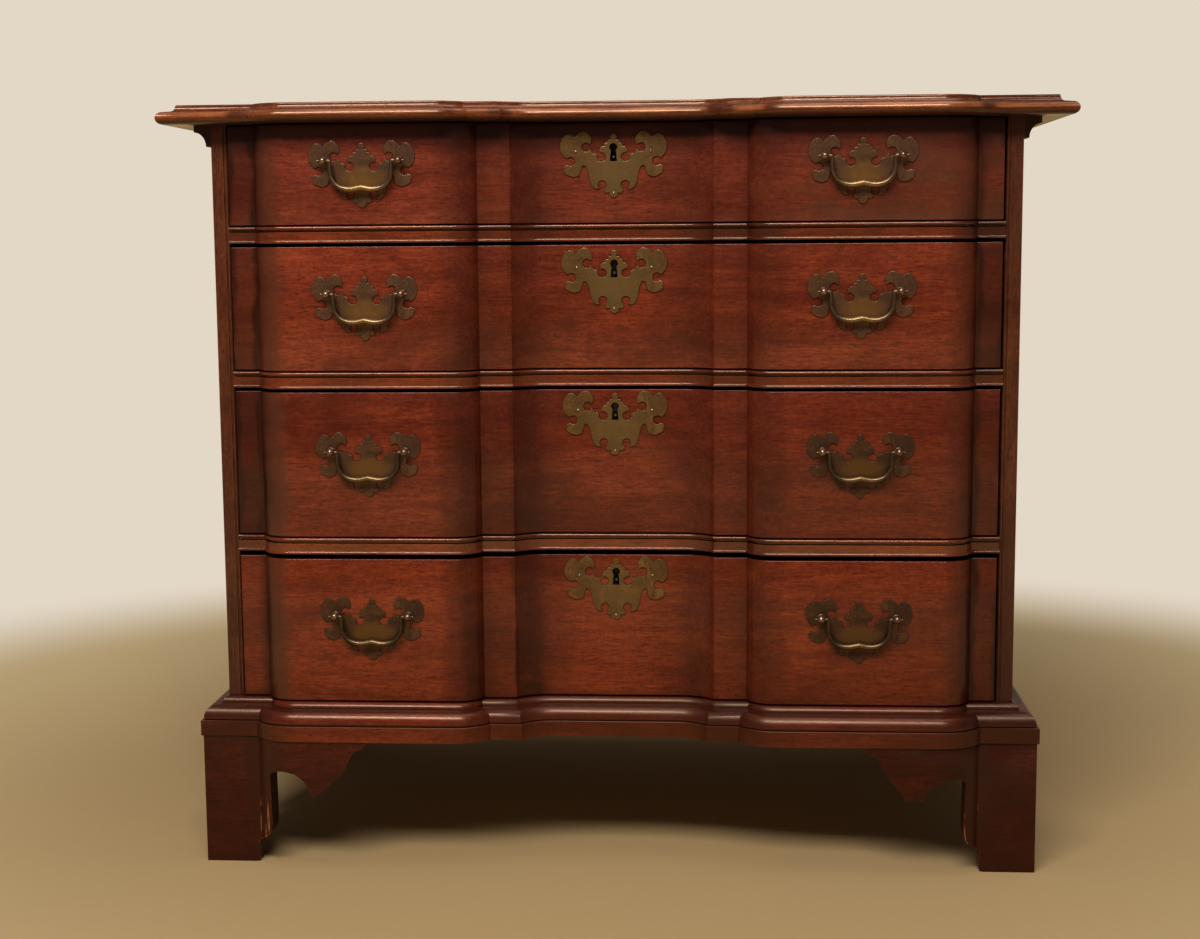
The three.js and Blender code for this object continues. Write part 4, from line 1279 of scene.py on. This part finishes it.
def post_mesh():
    collar_top = PLATE_THICKNESS + POST_COLLAR_HEIGHT
    neck_turn = math.asin(POST_NECK / POST_BALL)
    profile = [(0, POST_EASE), (POST_COLLAR, POST_EASE), (POST_COLLAR, collar_top - POST_EASE)]
    profile += [(POST_COLLAR - POST_EASE, collar_top), (POST_NECK + POST_EASE, collar_top)]
    profile.append((POST_NECK, collar_top + POST_FILLET))
    for angle in swing(neck_turn, math.pi, BALL_STEPS):
        profile.append((abs(POST_BALL * math.sin(angle)), POST_STANDOFF - POST_BALL * math.cos(angle)))
    profile[-1] = (0, POST_STANDOFF + POST_BALL)
    return turned("post", profile, POST_SIDES)


def dome_mesh(name, radius, rise):
    return turned(name, [*swell(0, 0, radius, rise, DOME_STEPS)[:-1], (0, rise)], DOME_SIDES)


def joined(name, parts, material, where):
    """One object of several meshes, each set at its own place on it."""
    build = bmesh.new()
    for mesh, offset in parts:
        start = len(build.verts)
        build.from_mesh(mesh)
        build.verts.ensure_lookup_table()
        for vertex in build.verts[start:]:
            vertex.co += metres(*offset)
    piece = new_object(name, to_mesh(build, name), material, BRASS_SHARP_ANGLE)
    flat = piece.modifiers.new("flat", "WEIGHTED_NORMAL")
    flat.keep_sharp = True
    applied(piece)
    piece.location = place(*where)
    return piece


# Half of a bail from its pin to the middle of its grip: shares of its arm and drop, and how thick it is
BAIL_RUN = (
    (1.08, 0, 0),
    (1.02, -0.012, 0),
    (1, -0.085, 0),
    (0.985, -0.48, 0.1),
    (0.89, -0.73, 0.35),
    (0.73, -0.91, 0.6),
    (0.5, -0.993, 0.85),
    (0.3, -1, 1),
    (0.12, -0.965, 1),
    (0, -0.935, 0.9),
)


def bail_mesh(name):
    thick = BAIL_GRIP_RADIUS - BAIL_ARM_RADIUS
    run = curved(BAIL_RUN, BAIL_STEPS)
    bend = [(x * BAIL_ARM, z * BAIL_DROP, BAIL_ARM_RADIUS + thick * share) for x, z, share in run]
    pin_inner = (BOLT_HALF + BAIL_ARM) / 2 + 1
    right = [(BAIL_PIN_END, 0, 1)]
    right += [(x, 0, BAIL_PIN) for x in (BAIL_PIN_END - BAIL_PIN_EASE, BOLT_HALF, pin_inner)]
    right += bend
    line = [(-x, z, radius) for x, z, radius in right[:-1]] + right[::-1]
    rings = []
    for station, (x, z, radius) in enumerate(line):
        before = line[max(station - 1, 0)]
        after = line[min(station + 1, len(line) - 1)]
        along = Vector((after[0] - before[0], after[1] - before[1])).normalized()
        ring = []
        for angle in swing(0, 4 * QUARTER, BAIL_SIDES)[:-1]:
            across = radius * math.cos(angle)
            ring.append((x - across * along.y, radius * math.sin(angle), z + across * along.x))
        rings.append(ring)
    return lofted(name, rings, metres)


def make_pull(number, side, hand, pull_z, shared):
    face_y = front_y(BLOCK_PROUD)
    across = hand * PULL_CENTRE
    where = (across, face_y - FRONT_SKIP, pull_z)
    body = f"drawer_{number}"
    name = f"batwing_plate_{number}_{side}"
    plate = joined(name, [(shared["plate"], (0, 0, 0))], PLATE_METALS[side][number - 1], where)
    settle(plate, body, "brass", f"plate_{number}_{side}")
    bolts = [(x, 0, 0) for x in (-BOLT_HALF, BOLT_HALF)]
    posts = [(shared["post"], bolt) for bolt in bolts]
    settle(joined(f"posts_{number}_{side}", posts, POST_BRASS, where), body, "brass")
    bail_body = f"bail_{number}_{side}"
    hung = (across, face_y - POST_STANDOFF, pull_z)
    bail = joined(f"swan_bail_{number}_{side}", [(shared["bail"], (0, 0, 0))], BAIL_METALS[number - 1], hung)
    settle(bail, bail_body, "brass", bail_body)
    nuts = [(shared["nut"], bolt) for bolt in bolts]
    behind = (across, FRONT_BACK, pull_z)
    settle(joined(f"post_nuts_{number}_{side}", nuts, POST_BRASS, behind), body, "brass")


def make_escutcheon(number, keyhole_z, shared):
    where = (KEYHOLE_SHIFT, front_y(-HOLLOW_DEPTH) - FRONT_SKIP, keyhole_z - KEYHOLE_RISE)
    body = f"drawer_{number}"
    plate = joined(f"keyhole_plate_{number}", [(shared["shield"], (0, 0, 0))], SHIELD_BRASS, where)
    settle(plate, body, "brass", f"escutcheon_{number}")
    heads = [(BOLT_HALF, 0), (-BOLT_HALF, 0), (0, -PLATE_FOOT_SHARE * PLATE_REACH)]
    nails = [(shared["nail"], (x, NAIL_SUNK - PLATE_THICKNESS, z)) for x, z in heads]
    settle(joined(f"plate_nails_{number}", nails, NAIL_BRASS, where), body, "brass")


def hex_nut():
    nut = turned("nut", NUT, NUT_SIDES)
    for vertex in nut.vertices:
        vertex.co.y = -vertex.co.y
    nut.flip_normals()
    return nut


def make_lock(number, head, keyhole_z):
    """Half-mortised drawer lock: case with rounded corners, four screws and the key's pin."""
    body = f"drawer_{number}"
    foot_z = keyhole_z - LOCK_BELOW
    head_z = min(keyhole_z + LOCK_ABOVE, head - LOCK_HEAD_GAP)
    back = FRONT_BACK + LOCK_DEPTH
    outline = box_points(-LOCK_HALF, LOCK_HALF, foot_z, head_z)
    case = prism("lock_case", outline, FRONT_BACK + LOCK_SKIP, back, 1)
    lock = new_object(f"drawer_lock_{number}", case, IRON)
    rounded(lock, LOCK_EASE, 3, LOCK_BEVEL_ANGLE)
    settle(lock, body, "lock_iron")
    screws = []
    for x in (SCREW_INSET - LOCK_HALF, LOCK_HALF - SCREW_INSET):
        for z in (foot_z + SCREW_INSET, head_z - SCREW_INSET):
            screws.append((dome_mesh("screw", SCREW_RADIUS, SCREW_RISE), (x, 0, z)))
    heads = joined(f"lock_screws_{number}", screws, IRON, (0, back, 0))
    heads.rotation_euler = (0, 0, math.pi)
    bpy.context.view_layer.update()
    settle(heads, body, "lock_iron")
    pin = turned("key_pin", KEY_PIN, PIN_SIDES)
    where = (KEYHOLE_SHIFT, FRONT_BACK + KEY_PIN_SKIP, keyhole_z - KEY_PIN_DROP)
    key_pin = joined(f"key_pin_{number}", [(pin, (0, 0, 0))], IRON, where)
    settle(key_pin, body, "lock_iron")


def make_dovetails(number, foot, head):
    """Faces of the tails of the drawer sides, let into the ends of the front."""
    box_foot = foot - DRAWER_FOOT_GAP + RUNNER_GAP
    box_head = head - BOX_HEAD_GAP
    count = max(FEWEST_TAILS, round((box_head - box_foot) / TAIL_PITCH))
    pitch = (box_head - box_foot) / count
    root, end = pitch * TAIL_ROOT_SHARE, pitch * TAIL_END_SHARE
    end_y = FRONT_BACK - TAIL_LENGTH
    for side, hand in SIDES:
        near, far = on_hand(hand, INSIDE - DRAWER_SIDE_GAP - TAIL_PROUD, BOX_OUTER)
        build = bmesh.new()
        for index in range(count):
            z = box_foot + pitch * (index + 0.5)
            outline = [(FRONT_BACK, z - root), (end_y, z - end), (end_y, z + end), (FRONT_BACK, z + root)]
            tail = prism("tail", outline, near, far, 0)
            build.from_mesh(tail)
            bpy.data.meshes.remove(tail)
        name = f"dovetails_{number}_{side}"
        settle(new_object(name, to_mesh(build, name), POPLAR_Y), f"drawer_{number}", "secondary_wood")


def make_drawers():
    outline = plate_points()
    keyhole = keyhole_points(0, KEYHOLE_RISE)
    shared = {
        "plate": cut_sheet("plate_sheet", [outline], PLATE_THICKNESS, PLATE_EDGE),
        "shield": cut_sheet("shield_sheet", [outline, keyhole[::-1]], PLATE_THICKNESS, PLATE_EDGE),
        "post": post_mesh(),
        "bail": bail_mesh("bail_run"),
        "nail": dome_mesh("nail", NAIL_RADIUS, NAIL_RISE),
        "nut": hex_nut(),
    }
    opening_head = CASE_TOP
    for order, opening_height in enumerate(OPENING_HEIGHTS):
        number = order + 1
        opening_foot = opening_head - opening_height
        foot = opening_foot + DRAWER_FOOT_GAP
        head = opening_foot + opening_height - DRAWER_HEAD_GAPS[order]
        keyhole_z = head - KEYHOLE_DROPS[order]
        make_front(number, foot, head, keyhole_z)
        make_escutcheon(number, keyhole_z, shared)
        for side, hand in SIDES:
            make_pull(number, side, hand, (foot + head) / 2 + PULL_RISES[order], shared)
        make_lock(number, head, keyhole_z)
        make_dovetails(number, foot, head)
        opening_head = opening_foot - RAIL_HEIGHT
        if number < len(OPENING_HEIGHTS):
            make_rail(number, opening_head)


def dress_nodes():
    """Woods of the pieces that keep the frame's own meshes."""
    woods = {"side_left": CASE_WOOD, "side_right": CASE_WOOD}
    woods |= {"back_panel": POPLAR_X, "bottom_board": POPLAR_X}
    for number in range(1, len(OPENING_HEIGHTS)):
        woods[f"dust_panel_{number}"] = POPLAR_X
    for number in range(1, len(OPENING_HEIGHTS) + 1):
        for part, material in DRAWER_WOODS.items():
            woods[f"drawer_{number}_{part}"] = material
    for node, material in woods.items():
        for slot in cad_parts[node].material_slots:
            slot.material = material


# Stage, light and camera, in metres
FLOOR_TONE = (0.335, 0.232, 0.113)
# Painted light on the far floor, against the lamps' falloff and the chest's shadow
PAINTED_LIGHT_FLOOR_TONE = (0.56, 0.44, 0.25)
BACKDROP_TONE = (0.77, 0.68, 0.56)
FLOOR_REACH = 60
WARM_LIGHT = (1, 0.95, 0.88)
WORLD_TONE = (1, 0.93, 0.84)
WORLD_STRENGTH = 0.14
LAMPS = {
    "key": {"where": (-0.45, -3.25, 3.95), "target": (0, -0.2, 0.4), "size": (3.3, 1.3), "power": 270},
    "ceiling": {"where": (0.2, -0.4, 3.0), "target": (0, -0.1, 0), "size": (2.4, 1.4), "power": 26},
}
CAMERA_PLACE = (0.1106, -2.0771, 0.65265)
CAMERA_TURNS = (-0.0668, 0.1268, -0.0077)
CAMERA_LENS = 54.95
CAMERA_SENSOR = 36
CAMERA_NEAR = 0.05


def ground_material():
    """Pale floor with painted light: paler away from the chest, against the lamps' falloff and the chest's
    shadow. It passes into the backdrop's tone a few metres from the chest.
    """
    tree = new_tree("pale_floor")
    near = tree.ramp(tree.pattern("floor"), ((0.3, scaled(FLOOR_TONE, 0.97)), (0.7, FLOOR_TONE)))
    away = tree.length(tree.object_point())
    tree.finish(tree.mix(tree.spread(away, "painted_light_floor"), near, PAINTED_LIGHT_FLOOR_TONE), 0.9, Specular_IOR_Level=0.1)
    seen = tree.node("Emission", {0: (*BACKDROP_TONE, 1), 1: 1.0})
    blend = tree.backed("Principled BSDF", seen, tree.spread(away, "backdrop"))
    tree.put(tree.tree.nodes["Material Output"].inputs[0], blend)
    return tree.owner


def make_stage():
    floor = bpy.data.meshes.new("floor")
    corners = [(x, z, 0) for x, z in box_points(-FLOOR_REACH, FLOOR_REACH, -FLOOR_REACH, FLOOR_REACH)]
    floor.from_pydata(corners, [], [(0, 1, 2, 3)])
    floor.materials.append(ground_material())
    ground = linked("floor", floor)


def soft_light(name, where, target, size, power):
    lamp = bpy.data.lights.new(name, "AREA")
    lamp.shape = "RECTANGLE"
    lamp.size, lamp.size_y = size
    lamp.energy = power
    lamp.color = WARM_LIGHT
    holder = linked(name, lamp)
    holder.location = where
    holder.rotation_euler = (Vector(target) - Vector(where)).to_track_quat("-Z", "Y").to_euler()


def make_world():
    world = bpy.data.worlds.new("studio")
    bpy.context.scene.world = world
    tree = Tree(world)
    inputs = tree.tree.nodes["Background"].inputs
    tree.put(inputs[0], (*WORLD_TONE, 1))
    tree.put(inputs[1], WORLD_STRENGTH)
    seen = tree.node("Background", {0: (*BACKDROP_TONE, 1), 1: 1.0})
    tree.put(tree.tree.nodes["World Output"].inputs[0], tree.backed("Background", seen))


def make_camera():
    yaw, pitch, roll = CAMERA_TURNS
    forward = Vector((math.sin(yaw) * math.cos(pitch), math.cos(yaw) * math.cos(pitch), -math.sin(pitch)))
    level = Vector((math.cos(yaw), -math.sin(yaw), 0))
    upward = level.cross(forward)
    right = math.cos(roll) * level + math.sin(roll) * upward
    up = -math.sin(roll) * level + math.cos(roll) * upward
    turn = Matrix((right, up, -forward)).transposed()
    camera = bpy.data.cameras.new("camera")
    camera.lens = CAMERA_LENS
    camera.sensor_width = CAMERA_SENSOR
    camera.clip_start = CAMERA_NEAR
    holder = linked("camera", camera)
    holder.matrix_world = Matrix.Translation(CAMERA_PLACE) @ turn.to_4x4()
    bpy.context.scene.camera = holder


make_top()
make_coves()
make_base()
for side, hand in SIDES:
    front_foot(side, hand)
    rear_foot(side, hand)
make_drawers()
dress_nodes()
make_stage()
make_world()
make_camera()
for name, lamp in LAMPS.items():
    soft_light(name, **lamp)
bpy.context.scene.view_settings.view_transform = "Standard"
